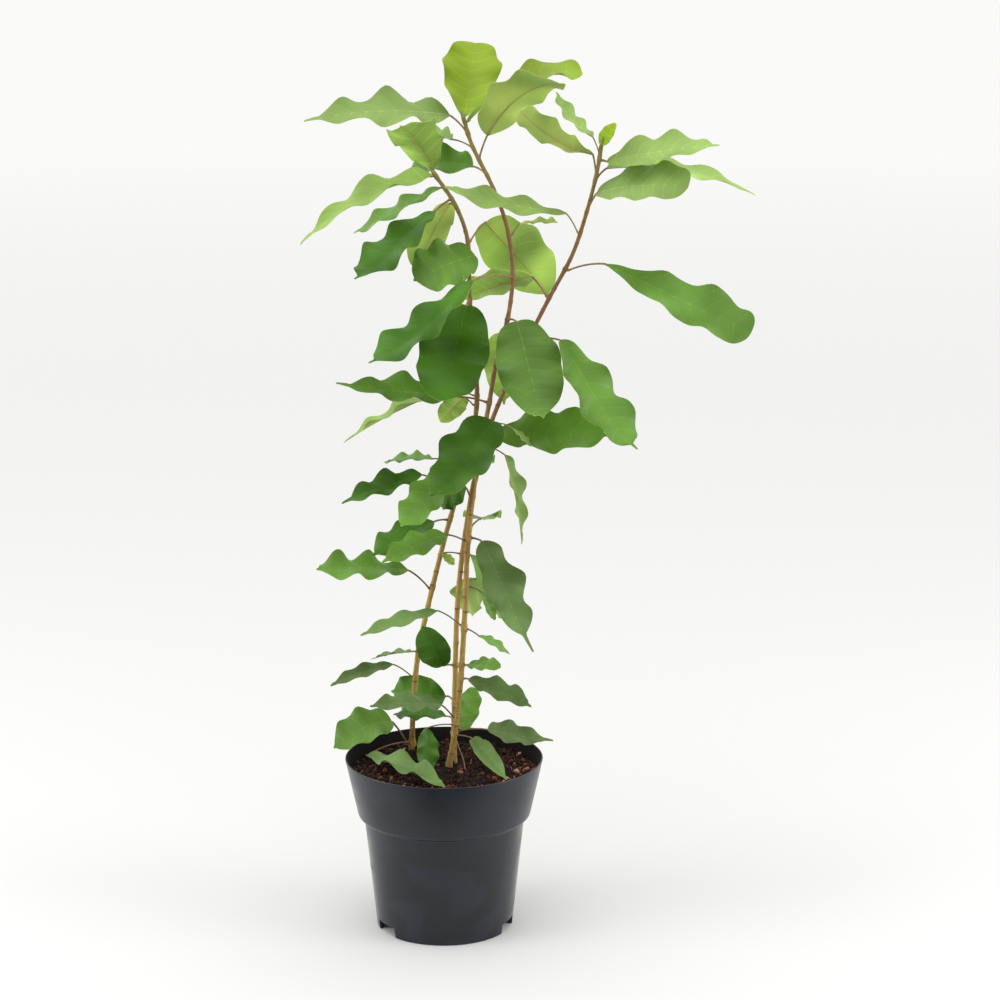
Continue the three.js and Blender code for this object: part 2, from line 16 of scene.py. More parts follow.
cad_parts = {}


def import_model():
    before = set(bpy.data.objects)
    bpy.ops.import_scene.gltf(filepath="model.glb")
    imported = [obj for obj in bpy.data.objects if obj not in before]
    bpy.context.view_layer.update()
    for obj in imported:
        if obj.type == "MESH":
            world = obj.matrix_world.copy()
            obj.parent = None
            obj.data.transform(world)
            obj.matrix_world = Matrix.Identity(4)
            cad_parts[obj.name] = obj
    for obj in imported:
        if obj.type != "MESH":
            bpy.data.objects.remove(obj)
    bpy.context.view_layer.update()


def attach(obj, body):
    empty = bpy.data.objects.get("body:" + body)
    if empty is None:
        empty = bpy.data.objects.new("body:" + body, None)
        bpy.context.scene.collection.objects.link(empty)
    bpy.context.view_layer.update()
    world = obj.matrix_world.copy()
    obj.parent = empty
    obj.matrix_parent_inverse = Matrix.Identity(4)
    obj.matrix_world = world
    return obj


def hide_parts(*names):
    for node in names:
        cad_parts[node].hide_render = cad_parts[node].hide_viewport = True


Array = np.ndarray
Triple = tuple[float, float, float]

MM = 0.001
CLEAR = 0.3  # the gap between neighbouring solids, which the looks close again
UP = np.array([0.0, 0.0, 1.0])
FRONT = np.array([0.0, -1.0, 0.0])
SEED = 20
FULL_TURN = 2 * math.pi
NOISE_SPAN = (0.3, 0.7)  # what nearly all values of a noise texture lie between
PLANT_IOR = 1.45  # of live skin and of bark
log = logging.getLogger("natal_fig")


class Tint(Enum):
    """The five leaf colours of the plant, from the newest growth to the oldest."""

    YOUNG = "young"
    PALE = "pale"
    FRESH = "fresh"
    DEEP = "deep"
    GREY = "grey"


YOUNG, PALE, FRESH, DEEP, GREY = Tint


def linear(colour: str) -> tuple[float, float, float, float]:
    """Turns a colour to what a shader socket takes.

    Args:
        colour: An sRGB hex value such as "#3a6b12".

    Returns:
        Linear red, green and blue, and full alpha.
    """
    channels = (int(colour[i : i + 2], 16) / 255 for i in (1, 3, 5))
    red, green, blue = (
        c / 12.92 if c <= 0.04045 else ((c + 0.055) / 1.055) ** 2.4 for c in channels
    )
    return red, green, blue, 1.0


def shaded(colour: str, share: float) -> str:
    """Makes a colour lighter or darker.

    Args:
        colour: An sRGB hex value.
        share: What its three values are multiplied by.

    Returns:
        The new sRGB hex value.
    """
    values = (min(255, round(int(colour[i : i + 2], 16) * share)) for i in (1, 3, 5))
    return "#" + "".join(f"{v:02x}" for v in values)


def blended(colour: str, other: str, share: float) -> str:
    """Mixes a share of another sRGB hex colour into the first, and gives the mixture."""
    pairs = ((int(colour[i : i + 2], 16), int(other[i : i + 2], 16)) for i in (1, 3, 5))
    return "#" + "".join(f"{round(a + (b - a) * share):02x}" for a, b in pairs)


def scale_for(size: float) -> float:
    """Gives a texture's Scale for features of that size in millimetres."""
    return 1 / (size * MM)


def unit(vectors: Array) -> Array:
    """Gives the vectors the length 1 along their last axis."""
    return vectors / np.linalg.norm(vectors, axis=-1, keepdims=True)


def add_node(
    tree: bpy.types.NodeTree,
    kind: str,
    inputs: dict[str | int, object] | None = None,
    **settings: object,
) -> bpy.types.Node:
    """Adds a node with its settings and links.

    Args:
        tree: The node tree that it goes into.
        kind: Blender's name of the node's type.
        inputs: For each input, a value or the output socket that feeds it.
        settings: Values of the node's own properties.

    Returns:
        The new node.
    """
    node = tree.nodes.new(kind)
    for name, value in settings.items():
        setattr(node, name, value)
    for name, value in (inputs or {}).items():
        if isinstance(value, bpy.types.NodeSocket):
            tree.links.new(value, node.inputs[name])
        else:
            node.inputs[name].default_value = value
    return node


def new_tree(name: str) -> tuple[bpy.types.Material, bpy.types.NodeTree, bpy.types.NodeSocket]:
    """Starts a material.

    Args:
        name: The material's name.

    Returns:
        The material, its empty node tree and the object's own coordinates.
    """
    material = bpy.data.materials.new(name)
    material.use_nodes = True
    tree = material.node_tree
    tree.nodes.clear()
    coordinates = add_node(tree, "ShaderNodeTexCoord").outputs["Object"]
    return material, tree, coordinates


def close_tree(
    tree: bpy.types.NodeTree,
    inputs: dict[str | int, object],
    relief: tuple[bpy.types.NodeSocket, float, float] | None = None,
) -> None:
    """Ends a material.

    Args:
        tree: The material's node tree.
        inputs: What its principled shader takes.
        relief: The socket that carries its relief, how strong that is, and its depth in
            millimetres.
    """
    if relief:
        height, strength, depth = relief
        raised = {"Strength": strength, "Distance": depth * MM, "Height": height}
        bump = add_node(tree, "ShaderNodeBump", raised)
        inputs = {**inputs, "Normal": bump.outputs["Normal"]}
    shader = add_node(tree, "ShaderNodeBsdfPrincipled", inputs)
    add_node(tree, "ShaderNodeOutputMaterial", {"Surface": shader.outputs[0]})


def mottled(
    tree: bpy.types.NodeTree, place: bpy.types.NodeSocket, dark: str, light: str, size: float
) -> bpy.types.NodeSocket:
    """Lets a colour drift between two others over a surface.

    Args:
        tree: The material's node tree.
        place: The coordinates that the pattern lies in.
        dark: The one colour, an sRGB hex value.
        light: The other colour.
        size: How large the patches are, in millimetres.

    Returns:
        The socket that carries the colour.
    """
    patches = add_node(
        tree, "ShaderNodeTexNoise", {"Vector": place, "Scale": scale_for(size), "Detail": 1.0}
    )
    least, most = NOISE_SPAN
    even = add_node(
        tree,
        "ShaderNodeMapRange",
        {"Value": patches.outputs["Fac"], "From Min": least, "From Max": most},
    )
    mix = add_node(
        tree,
        "ShaderNodeMix",
        {"Factor": even.outputs["Result"], 6: linear(dark), 7: linear(light)},
        data_type="RGBA",
    )
    return mix.outputs[2]


@dataclass(frozen=True)
class LeafSkin:
    """A fig leaf's waxy skin over its net of fine veins.

    The wax gives a soft broad sheen, and the net a leathery grain. On the upper side a pale
    grey-green is also painted in broad patches, a painted sheen. The underside has less wax, so it
    is paler and duller.
    """

    upper: str
    lower: str
    rib: str
    rib_below: str
    roughness: float = 0.4
    sheen_share: float = 0.25  # share of the painted sheen colour mixed into the upper side where it is strongest
    # the pale grey-green of the painted sheen
    sheen_colour: str = "#96c48c"
    wax_ior: float = 1.32
    # lighter and darker copies of each colour, dealt out by leaf: partly the leaves' own tones,
    # partly painted light and shade
    shades: tuple[float, ...] = (0.9, 1.0, 1.09)
    patch_darkening: float = 0.8  # how much darker patches are, and lighter ones where no painted sheen is
    patch: float = 46.0  # how large the patches of painted sheen and of darker skin are
    duller_below: float = 0.18
    vein_paler: float = 1.12  # how much paler than the blade a side vein is
    areole: float = 2.4  # the meshes of the vein net, coarser than life so that they show
    relief: float = 0.05
    relief_strength: float = 0.55

    def skin(
        self, name: str, colour: str, roughness: float, relief: float, sheen_share: float = 0.0
    ) -> bpy.types.Material:
        """Makes one side of the blade.

        Args:
            name: The material's name.
            colour: Its middle colour, an sRGB hex value.
            roughness: How dull its wax is.
            relief: How deep the vein net is, in millimetres.
            sheen_share: How much of the painted sheen colour is mixed in where it is strongest.

        Returns:
            The material.
        """
        material, tree, place = new_tree(name)
        net = add_node(
            tree,
            "ShaderNodeTexVoronoi",
            {"Vector": place, "Scale": scale_for(self.areole)},
            feature="DISTANCE_TO_EDGE",
        )
        # Painted sheen: the lighter patches mix in the pale grey-green where sheen_share is set, and
        # are only lighter elsewhere.
        thin = shaded(colour, self.patch_darkening)
        paler_or_sheen = blended(colour, self.sheen_colour, sheen_share) if sheen_share else shaded(colour, 2 - self.patch_darkening)
        close_tree(
            tree,
            {
                "Base Color": mottled(tree, place, thin, paler_or_sheen, self.patch),
                "Roughness": roughness,
                "IOR": self.wax_ior,
            },
            (net.outputs["Distance"], self.relief_strength, relief),
        )
        return material

    def materials(self, tint: Tint) -> list[bpy.types.Material]:
        """Makes what one tint of leaf is dressed in.

        Args:
            tint: The leaf colour that the materials are named for.

        Returns:
            In each shade the upper side, the lower side and the side veins, then the side veins
            below, the midrib above and below, and the margin.
        """
        name = f"waxy_leaf_{tint.value}"
        dull = self.roughness + self.duller_below
        made = []
        for side, colour, roughness, sheen_share in (
            ("upper", self.upper, self.roughness, self.sheen_share),
            ("lower", self.lower, dull, 0.0),
            ("vein", shaded(self.upper, self.vein_paler), self.roughness, self.sheen_share),
        ):
            for number, share in enumerate(self.shades):
                shade = shaded(colour, share)
                made.append(
                    self.skin(f"{name}_{side}_{number}", shade, roughness, self.relief, sheen_share)
                )
        return made + [
            self.skin(f"{name}_vein_below", shaded(self.lower, self.vein_paler), dull, 0.0),
            self.skin(f"{name}_rib_above", self.rib, self.roughness, 0.0),
            self.skin(f"{name}_rib_below", self.rib_below, dull, 0.0),
            self.skin(f"{name}_margin", shaded(self.lower, self.vein_paler), dull, 0.0),
        ]


# Each tint: upper side, lower side, midrib above and below, roughness and share of painted sheen.
# The colours are brighter than the leaves' own, a painted glow for the light that shines through the
# thin blades.
LEAF_SKINS = {
    YOUNG: LeafSkin("#a9c92c", "#a6cf52", "#b7d160", "#bdbd6c", 0.42, 0.1),
    PALE: LeafSkin("#a6c766", "#b2d966", "#c4d68f", "#b3ac66", 0.48, 0.1),
    FRESH: LeafSkin("#6c9a32", "#a2c45c", "#8ab852", "#aabd78", 0.4, 0.18),
    DEEP: LeafSkin("#396a00", "#8fae4c", "#649232", "#9db173", 0.38, 0.36),
    GREY: LeafSkin("#68843e", "#8aa368", "#88a362", "#9aae80", 0.5),
}


@dataclass(frozen=True)
class Rind:
    """Plant skin in one plain colour: petioles, buds and dry twigs. Smooth, with a dull sheen."""

    colour: str
    roughness: float = 0.5
    patch: float = 5.0
    drift: float = 0.12  # how much darker and lighter its patches are

    def material(self, name: str) -> bpy.types.Material:
        """Makes the material under that name."""
        material, tree, place = new_tree(name)
        dark, light = shaded(self.colour, 1 - self.drift), shaded(self.colour, 1 + self.drift)
        colour = mottled(tree, place, dark, light, self.patch)
        close_tree(tree, {"Base Color": colour, "Roughness": self.roughness, "IOR": PLANT_IOR})
        return material


@dataclass(frozen=True)
class YoungBark:
    """Bark of one to three years: tan and corky low on the stem, smooth and red-brown higher up.

    Corky bark scatters light evenly, so it looks matt, and its fine lengthwise cracks darken it.
    """

    bands: tuple[str, ...] = (
        "#94783f", "#a5884a", "#ae904e", "#ae8e4e", "#a9864c", "#a37e4e", "#9c754c", "#966c49",
        "#916746", "#8f6843", "#907043", "#938048",
    )
    lenticel: str = "#c2a878"
    scar: str = "#755836"
    roughness: float = 0.72
    drift: float = 0.28  # how much darker and lighter than its colour the cracks make it
    crack_width: float = 0.9
    crack_length: float = 9.0
    crack_roughness: float = 0.6
    relief: float = 0.25
    relief_strength: float = 0.6

    def bark(self, name: str, colour: str) -> bpy.types.Material:
        """Makes bark of one colour.

        Args:
            name: The material's name.
            colour: Its middle colour, an sRGB hex value.

        Returns:
            The material.
        """
        material, tree, place = new_tree(name)
        drawn = add_node(
            tree,
            "ShaderNodeMapping",
            {"Vector": place, "Scale": (1.0, 1.0, self.crack_width / self.crack_length)},
        )
        cracks = add_node(
            tree,
            "ShaderNodeTexNoise",
            {
                "Vector": drawn.outputs["Vector"],
                "Scale": scale_for(self.crack_width),
                "Detail": 4.0,
                "Roughness": self.crack_roughness,
            },
        )
        colours = add_node(
            tree,
            "ShaderNodeMix",
            {
                "Factor": cracks.outputs["Fac"],
                6: linear(shaded(colour, 1 - self.drift)),
                7: linear(shaded(colour, 1 + self.drift)),
            },
            data_type="RGBA",
        )
        close_tree(
            tree,
            {
                "Base Color": colours.outputs[2],
                "Roughness": self.roughness,
                "IOR": PLANT_IOR,
            },
            (cracks.outputs["Fac"], self.relief_strength, self.relief),
        )
        return material

    def materials(self) -> list[bpy.types.Material]:
        """Makes the bands from the foot up, then the lenticels and the leaf scars."""
        made = [self.bark(f"young_bark_{i:02d}", c) for i, c in enumerate(self.bands)]
        return made + [
            self.bark("young_bark_lenticel", self.lenticel),
            self.bark("young_bark_scar", self.scar),
        ]


@dataclass(frozen=True)
class MouldedPolypropylene:
    """Anthracite polypropylene, injection moulded: satin, with faint drifting flow marks."""

    colour: str = "#080e17"
    flow_colour: str = "#131a26"
    roughness: tuple[float, float] = (0.2, 0.3)  # beside and in the flow marks
    ior: float = 1.5
    flow_size: float = 80.0
    flow_flatness: float = 1.7
    flow_warp: float = 1.2
    flow_edge: tuple[float, float] = (0.46, 0.54)  # where in the noise a mark's soft edge lies
    grain: float = 0.8
    grain_depth: float = 0.02
    relief_strength: float = 0.3

    def material(self) -> bpy.types.Material:
        """Makes the material: flow marks in colour and gloss over a fine moulded grain."""
        material, tree, place = new_tree("moulded_polypropylene")
        level = add_node(
            tree, "ShaderNodeMapping", {"Vector": place, "Scale": (1.0, 1.0, self.flow_flatness)}
        )
        flow = add_node(
            tree,
            "ShaderNodeTexNoise",
            {
                "Vector": level.outputs["Vector"],
                "Scale": scale_for(self.flow_size),
                "Detail": 1.0,
                "Distortion": self.flow_warp,
            },
        )
        beside, within = self.flow_edge
        marks = add_node(
            tree,
            "ShaderNodeMapRange",
            {"Value": flow.outputs["Fac"], "From Min": beside, "From Max": within},
        )
        share = marks.outputs["Result"]
        colours = add_node(
            tree,
            "ShaderNodeMix",
            {"Factor": share, 6: linear(self.colour), 7: linear(self.flow_colour)},
            data_type="RGBA",
        )
        plain, marked = self.roughness
        gloss = add_node(
            tree, "ShaderNodeMapRange", {"Value": share, "To Min": plain, "To Max": marked}
        )
        grain = add_node(
            tree, "ShaderNodeTexNoise", {"Vector": place, "Scale": scale_for(self.grain)}
        )
        close_tree(
            tree,
            {
                "Base Color": colours.outputs[2],
                "Roughness": gloss.outputs["Result"],
                "IOR": self.ior,
            },
            (grain.outputs["Fac"], self.relief_strength, self.grain_depth),
        )
        return material


@dataclass(frozen=True)
class PottingMix:
    """Peat with bark chips: matt crumbs that swallow light, and redder chips that catch it."""

    crumb: str = "#1b110c"
    chips: tuple[str, ...] = ("#21140e", "#38201a", "#5a3024", "#86533f", "#b88d78")
    inner_wall_shade: str = "#120d0c"  # painted shade: the pot's inside wall is near black, as in the shade of the leaves
    roughness: float = 0.95
    ior: float = 1.4
    drift: float = 0.35  # how much darker and lighter than its colour the crumbs are
    grain: float = 1.2
    relief: float = 0.6
    relief_strength: float = 0.8

    def grit(self, name: str, colour: str) -> bpy.types.Material:
        """Makes grit of one colour.

        Args:
            name: The material's name.
            colour: Its middle colour, an sRGB hex value.

        Returns:
            The material.
        """
        material, tree, place = new_tree(name)
        crumbs = add_node(
            tree,
            "ShaderNodeTexNoise",
            {"Vector": place, "Scale": scale_for(self.grain), "Detail": 4.0},
        )
        dark, light = shaded(colour, 1 - self.drift), shaded(colour, 1 + self.drift)
        close_tree(
            tree,
            {
                "Base Color": mottled(tree, place, dark, light, self.grain),
                "Roughness": self.roughness,
                "IOR": self.ior,
            },
            (crumbs.outputs["Fac"], self.relief_strength, self.relief),
        )
        return material


def grid_faces(rows: int, columns: int) -> Array:
    """Gives the quads of a grid of points numbered row by row.

    Args:
        rows: How many rows of points there are.
        columns: How many points each row has.

    Returns:
        An array of four point numbers for each face, turning from a row to the next one first.
    """
    first = (np.arange(rows - 1)[:, None] * columns + np.arange(columns - 1)).ravel()
    return np.stack([first, first + columns, first + columns + 1, first + 1], axis=1)


def ring_faces(rings: int, sides: int) -> Array:
    """Gives the quads between rings of points that turn anticlockwise round the way they follow.

    Args:
        rings: How many rings there are.
        sides: How many points each ring has.

    Returns:
        An array of four point numbers for each face, facing outwards.
    """
    ring, side = np.meshgrid(np.arange(rings - 1), np.arange(sides), indexing="ij")
    first = ring * sides + side
    after = ring * sides + (side + 1) % sides
    return np.stack([first, after, after + sides, first + sides], axis=-1).reshape(-1, 4)


@dataclass
class Patchwork:
    """The points and faces of one joined piece, each face with the number of its finish."""

    points: list[Array] = field(default_factory=list)
    faces: list[list[int]] = field(default_factory=list)
    finishes: list[int] = field(default_factory=list)
    count: int = 0

    def add(self, points: Array, faces: Array, finish: int | Array) -> None:
        """Adds a part of the piece.

        Args:
            points: Its points, in millimetres.
            faces: Its faces, as numbers of those points.
            finish: The number of the material, for all faces or for each of them.
        """
        self.points.append(points.reshape(-1, 3))
        self.faces += (faces + self.count).tolist()
        self.finishes += np.broadcast_to(finish, len(faces)).tolist()
        self.count += len(self.points[-1])

    def piece(
        self, name: str, materials: list[bpy.types.Material], crease: float = 60.0
    ) -> bpy.types.Object:
        """Makes the piece.

        Args:
            name: Its name in the scene.
            materials: What its faces' finish numbers stand for.
            crease: The angle in degrees from which an edge stays sharp.

        Returns:
            The object, linked into the scene.
        """
        mesh = bpy.data.meshes.new(name)
        mesh.from_pydata((np.concatenate(self.points) * MM).tolist(), [], self.faces)
        for material in materials:
            mesh.materials.append(material)
        mesh.polygons.foreach_set("material_index", np.array(self.finishes, np.int32))
        mesh.shade_smooth()
        mesh.set_sharp_from_angle(angle=math.radians(crease))
        made = bpy.data.objects.new(name, mesh)
        bpy.context.scene.collection.objects.link(made)
        return made


def dress(piece: bpy.types.Object, slot: str, *nodes: str) -> None:
    """Says what a finished piece stands for.

    Args:
        piece: The object.
        slot: The record's material slot. Not used.
        nodes: The names of the solids that it stands for.
    """
    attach(piece, "root")
    if nodes:
        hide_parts(*nodes)
    triangles = sum(len(face.vertices) - 2 for face in piece.data.polygons)
    log.info("%s: %d triangles for %s", piece.name, triangles, ", ".join(nodes) or "no solid")


class Path:
    """A curve as evenly spaced points, with the way it runs and a normal carried along it."""

    SAMPLES = 160

    def __init__(self, points: Array, normal: Array, samples: int = SAMPLES) -> None:
        """Spaces the points evenly and carries the normal without spinning it.

        Args:
            points: Points close together along the curve.
            normal: The way the normal looks at the start, roughly.
            samples: How many points the path keeps.
        """
        steps = np.linalg.norm(np.diff(points, axis=0), axis=1)
        travelled = np.concatenate([[0.0], np.cumsum(steps)])
        self.length = float(travelled[-1])
        self.shares = np.linspace(0, 1, samples)
        self.points = self._between(travelled / self.length, points, self.shares)
        self.tangents = unit(np.gradient(self.points, axis=0))
        normals = []
        for tangent in self.tangents:
            normal = normal - (normal @ tangent) * tangent
            normal = normal / np.linalg.norm(normal)
            normals.append(normal)
        self.normals = np.array(normals)

    @staticmethod
    def _between(known: Array, values: Array, wanted: Array) -> Array:
        """Reads vectors between their known places.

        Args:
            known: The places, rising from 0 to 1.
            values: The vector at each of them.
            wanted: The places to read at, in any shape.

        Returns:
            The vectors, in the shape of wanted and with one more axis.
        """
        return np.stack([np.interp(wanted, known, values[:, i]) for i in range(3)], axis=-1)

    def at(self, shares: Array) -> tuple[Array, Array, Array]:
        """Gives the point, tangent and normal at each of the shares of the length."""
        return (
            self._between(self.shares, self.points, shares),
            unit(self._between(self.shares, self.tangents, shares)),
            unit(self._between(self.shares, self.normals, shares)),
        )

    def place_at_height(self, height: float) -> float:
        """Gives the share of the length where a rising path reaches a height."""
        return float(np.interp(height, self.points[:, 2], self.shares))


def bezier(*controls: Array, steps: int = 120) -> Array:
    """Gives points along a Bezier curve through three or four control points."""
    at = np.linspace(0, 1, steps)[:, None]
    degree = len(controls) - 1
    return sum(
        math.comb(degree, i) * (1 - at) ** (degree - i) * at**i * c for i, c in enumerate(controls)
    )


def catmull_rom(route: Array, steps: int = 40) -> Array:
    """Gives points along the centripetal Catmull-Rom curve through a route.

    Args:
        route: The points that the curve passes.
        steps: How many points each span gets.

    Returns:
        The points along the curve.
    """
    ends = [2 * route[0] - route[1], *route, 2 * route[-1] - route[-2]]
    at = np.linspace(0, 1, steps, endpoint=False)[:, None]
    spans = []
    for before, start, end, after in zip(ends, ends[1:], ends[2:], ends[3:]):
        first, middle, last = (
            math.sqrt(np.linalg.norm(b - a))
            for a, b in ((before, start), (start, end), (end, after))
        )
        leaving = (start - before) / first - (end - before) / (first + middle)
        leaving = (leaving + (end - start) / middle) * middle
        arriving = (end - start) / middle - (after - start) / (middle + last)
        arriving = (arriving + (after - end) / last) * middle
        spans.append(
            start
            + leaving * at
            + (3 * (end - start) - 2 * leaving - arriving) * at**2
            + (2 * (start - end) + leaving + arriving) * at**3
        )
    return np.concatenate([*spans, route[-1:]])


def tube(path: Path, shares: Array, radii: Array, sides: int) -> Array:
    """Gives the rings of points of a tube along a path.

    Args:
        path: The way the tube follows.
        shares: Where its rings are, as shares of the path's length.
        radii: The radius at each ring, or at each point of each ring.
        sides: How many points each ring has.

    Returns:
        The points, ring by ring.
    """
    middles, tangents, normals = path.at(shares)
    across = np.cross(tangents, normals)
    angles = np.arange(sides) / sides * FULL_TURN
    ways = (
        normals[:, None] * np.cos(angles)[None, :, None]
        + across[:, None] * np.sin(angles)[None, :, None]
    )
    reach = radii if radii.ndim == 2 else radii[:, None]
    return middles[:, None] + ways * reach[..., None]


@dataclass(frozen=True)
class Leaf:
    """A leaf: where it leaves its stem, the runs of its petiole and blade, and the blade's form."""

    up: float  # height where it leaves the stem
    petiole: Triple  # right, back, up
    blade: Triple
    width: float
    face: Triple  # the way its upper face looks
    tint: Tint
    arch: float = 0.04  # bows the blade to its upper face
    droop: float = 0.0  # bends its outer half the other way
    fold: float = 12.0  # lifts both halves, degrees
    twist: float = 0.0  # turns it from base to tip, degrees
    base: float = 0.75  # the lower, the blunter its base
    tip: float = 0.5  # the lower, the blunter its tip
    drip: float = 0.06  # the share of its length that is a narrow drip tip
    lobe: float = 0.05  # the share of the ripples in its outline
    wave: float = 0.1  # the height of the ripples as a share of its width
    phase: float = 0.0  # shifts the ripples along the blade, radians
    # Some leaves take a lighter or darker shade than their own tone: painted light for the glow
    # through a lit leaf, painted shade for the shade it hangs in.
    shade: int | None = None  # which shade of its tint it has. None leaves that to chance


@dataclass(frozen=True)
class LeafMaker:
    """Grows leaves by one rule: a petiole that opens into a rippled blade with sunken side veins."""

    petiole_radius: float = 1.0
    petiole_waist: float = 0.8  # how much of that radius it has at its foot
    petiole_gain: float = 0.12  # how much more of it towards the blade
    petiole_end: float = 0.3
    petiole_step: float = 2.0
    petiole_bow: float = 0.12
    petiole_overlap: float = 4.0  # how far it runs on under the blade, in a wide leaf
    narrow_overlap: float = 0.1  # how far in a narrow leaf, as a share of the width
    full_width: float = 30.0  # a narrower leaf has a slimmer petiole and midrib
    least_petiole: float = 0.7
    least_rib: float = 0.65
    cushion_radius: float = 1.5  # the swelling where a petiole joins its stem
    cushion_length: float = 3.2
    thickness: float = 0.45
    thin_margin: float = 0.6  # how much of the thickness the margin has
    ripples: float = 3.0
    finer_ripples: float = 2.3  # finer ones to each of them
    finer_height: float = 0.14
    fold_curve: float = 1.25  # how late on the way to the margin the fold, the ripples, the finer
    ripple_curve: float = 1.8  # ripples and the slant of the veins come in
    finer_curve: float = 3.0
    slant_curve: float = 1.3
    tip_half_width: float = 0.8
    drip_half_width: float = 1.9
    least_drip: float = 0.02
    vein_spacing: float = 10.5
    vein_counts: tuple[int, int] = (3, 9)
    first_vein: float = 0.75  # how many spacings from the base the first vein lies
    vein_room: float = 0.9  # how many spacings the blade has beyond its number of veins
    vein_width: float = 0.5
    vein_slant: float = 0.14
    slant_varies: tuple[float, float] = (0.8, 1.2)
    vein_depth: float = 0.1
    vein_depth_below: float = 0.6  # as a share of the depth above
    vein_reach: float = 0.9  # how far to the margin a vein is sunk, and how far it is coloured
    vein_colour_reach: float = 0.86
    quilting: float = 0.2  # how far the skin stands up between two side veins
    full_quilting: float = 18.0  # the half width from which it does
    most_quilting: float = 1.2
    swell: tuple[float, ...] = (0.7, 1.0, 0.7, 0.0)  # how it rises and falls from vein to vein
    opening_rows: int = 7
    closing_rows: int = 13
    row_crowding: float = 1.9  # draws the rows together where the blade opens and closes
    columns: int = 15
    column_crowding: float = 0.9  # draws the columns together at both margins
    petiole_sides: int = 8
    rib_sides: int = 6
    rib_rings: int = 30
    rib_reach: float = 0.97
    rib_share: float = 0.6  # how thick it starts, as a share of the petiole's radius
    rib_taper: float = 0.8
    rib_end: float = 0.2
    rib_sunk: float = 0.7  # how deep it lies in the blade, in radii, and how much less in all
    rib_raised: float = 0.1
    lower: int = 3  # the numbers of the finishes in LeafSkin.materials, the first of each kind
    vein_above: int = 6
    vein_below: int = 9
    rib_above: int = 10
    rib_below: int = 11
    margin: int = 12

    def setting_off(self, petiole: Array) -> Array:
        """Gives the way a petiole sets off from its stem: half its run, raised by its bow."""
        return petiole / 2 + UP * self.petiole_bow * np.linalg.norm(petiole)

    @staticmethod
    def breadth(leaf: Leaf, place: Array) -> Array:
        """Gives how broad a blade is from its base (0) to its tip (1), as a share of its width."""
        broadest = leaf.base / (leaf.base + leaf.tip)

        def shape(at: Array) -> Array:
            """Gives the outline before it is scaled."""
            return at**leaf.base * (1 - at) ** leaf.tip

        return shape(np.minimum(place / (1 - leaf.drip), 1)) / shape(broadest)

    def rows(self, length: float) -> tuple[Array, Array, Array]:
        """Places the cross rows of a blade, with two close rows to each side vein.

        Args:
            length: The blade's length.

        Returns:
            The rows' places along the midrib, how far the skin stands up at each, and for each gap
            between two rows whether it is a vein.
        """
        veins = int(np.clip(round(length / self.vein_spacing), *self.vein_counts))
        half = self.vein_width / 2 / length
        centres = (np.arange(veins) + self.first_vein) / (veins + self.vein_room)
        # The rows lie closer where the blade opens and where it closes, as its outline turns there.
        start = (centres[0] - half) * np.linspace(0, 1, self.opening_rows) ** self.row_crowding
        places, swell, strips = start.tolist(), [0.0] * len(start), [False] * (len(start) - 1)
        for number, centre in enumerate(centres):
            if number > 0:
                between = np.linspace(places[-1], centre - half, len(self.swell) + 1)
                places += between[1:].tolist()
                swell += self.swell
                strips += [False] * len(self.swell)
            places.append(centre + half)
            swell.append(0.0)
            strips.append(True)
        closing = (1 - np.linspace(0, 1, self.closing_rows)[1:]) ** self.row_crowding
        end = 1 - (1 - places[-1]) * closing
        places += end.tolist()
        swell += [0.0] * len(end)
        strips += [False] * len(end)
        return np.array(places), np.array(swell), np.array(strips)

    def blade(self, leaf: Leaf, base: Array, shade: int, seed: int, into: Patchwork) -> None:
        """Grows a blade with its midrib.

        Args:
            leaf: The leaf's row.
            base: Where the petiole ends.
            shade: Which shade of its tint the leaf has.
            seed: What sets its small irregularities.
            into: The piece that it joins.
        """
        chance = np.random.default_rng(seed)
        run = np.array(leaf.blade, float)
        length = float(np.linalg.norm(run))
        way = run / length
        face = np.array(leaf.face, float)
        face = unit(face - (face @ way) * way)
        inner = base + run / 3 + face * leaf.arch * length
        outer = base + run * 2 / 3 + face * (leaf.arch - leaf.droop) * length
        midrib = Path(bezier(base, inner, outer, base + run), face)

        places, swell, strips = self.rows(length)
        across = np.sin(np.linspace(-1, 1, self.columns) * math.pi / 2 * self.column_crowding)
        across /= across[-1]
        reach = np.abs(across)
        # The rows, and the veins with them, lean towards the tip, most of all in mid-blade.
        slant = self.vein_slant * chance.uniform(*self.slant_varies, 2)[(across > 0).astype(int)]
        leaning = slant * reach**self.slant_curve * 4
        place = np.clip(places[:, None] + leaning * (places * (1 - places))[:, None], 0, 1)
        middle, tangent, normal = midrib.at(place)
        turned = np.radians(leaf.twist) * place[..., None]
        normal = normal * np.cos(turned) + np.cross(tangent, normal) * np.sin(turned)
        side = np.cross(normal, tangent)

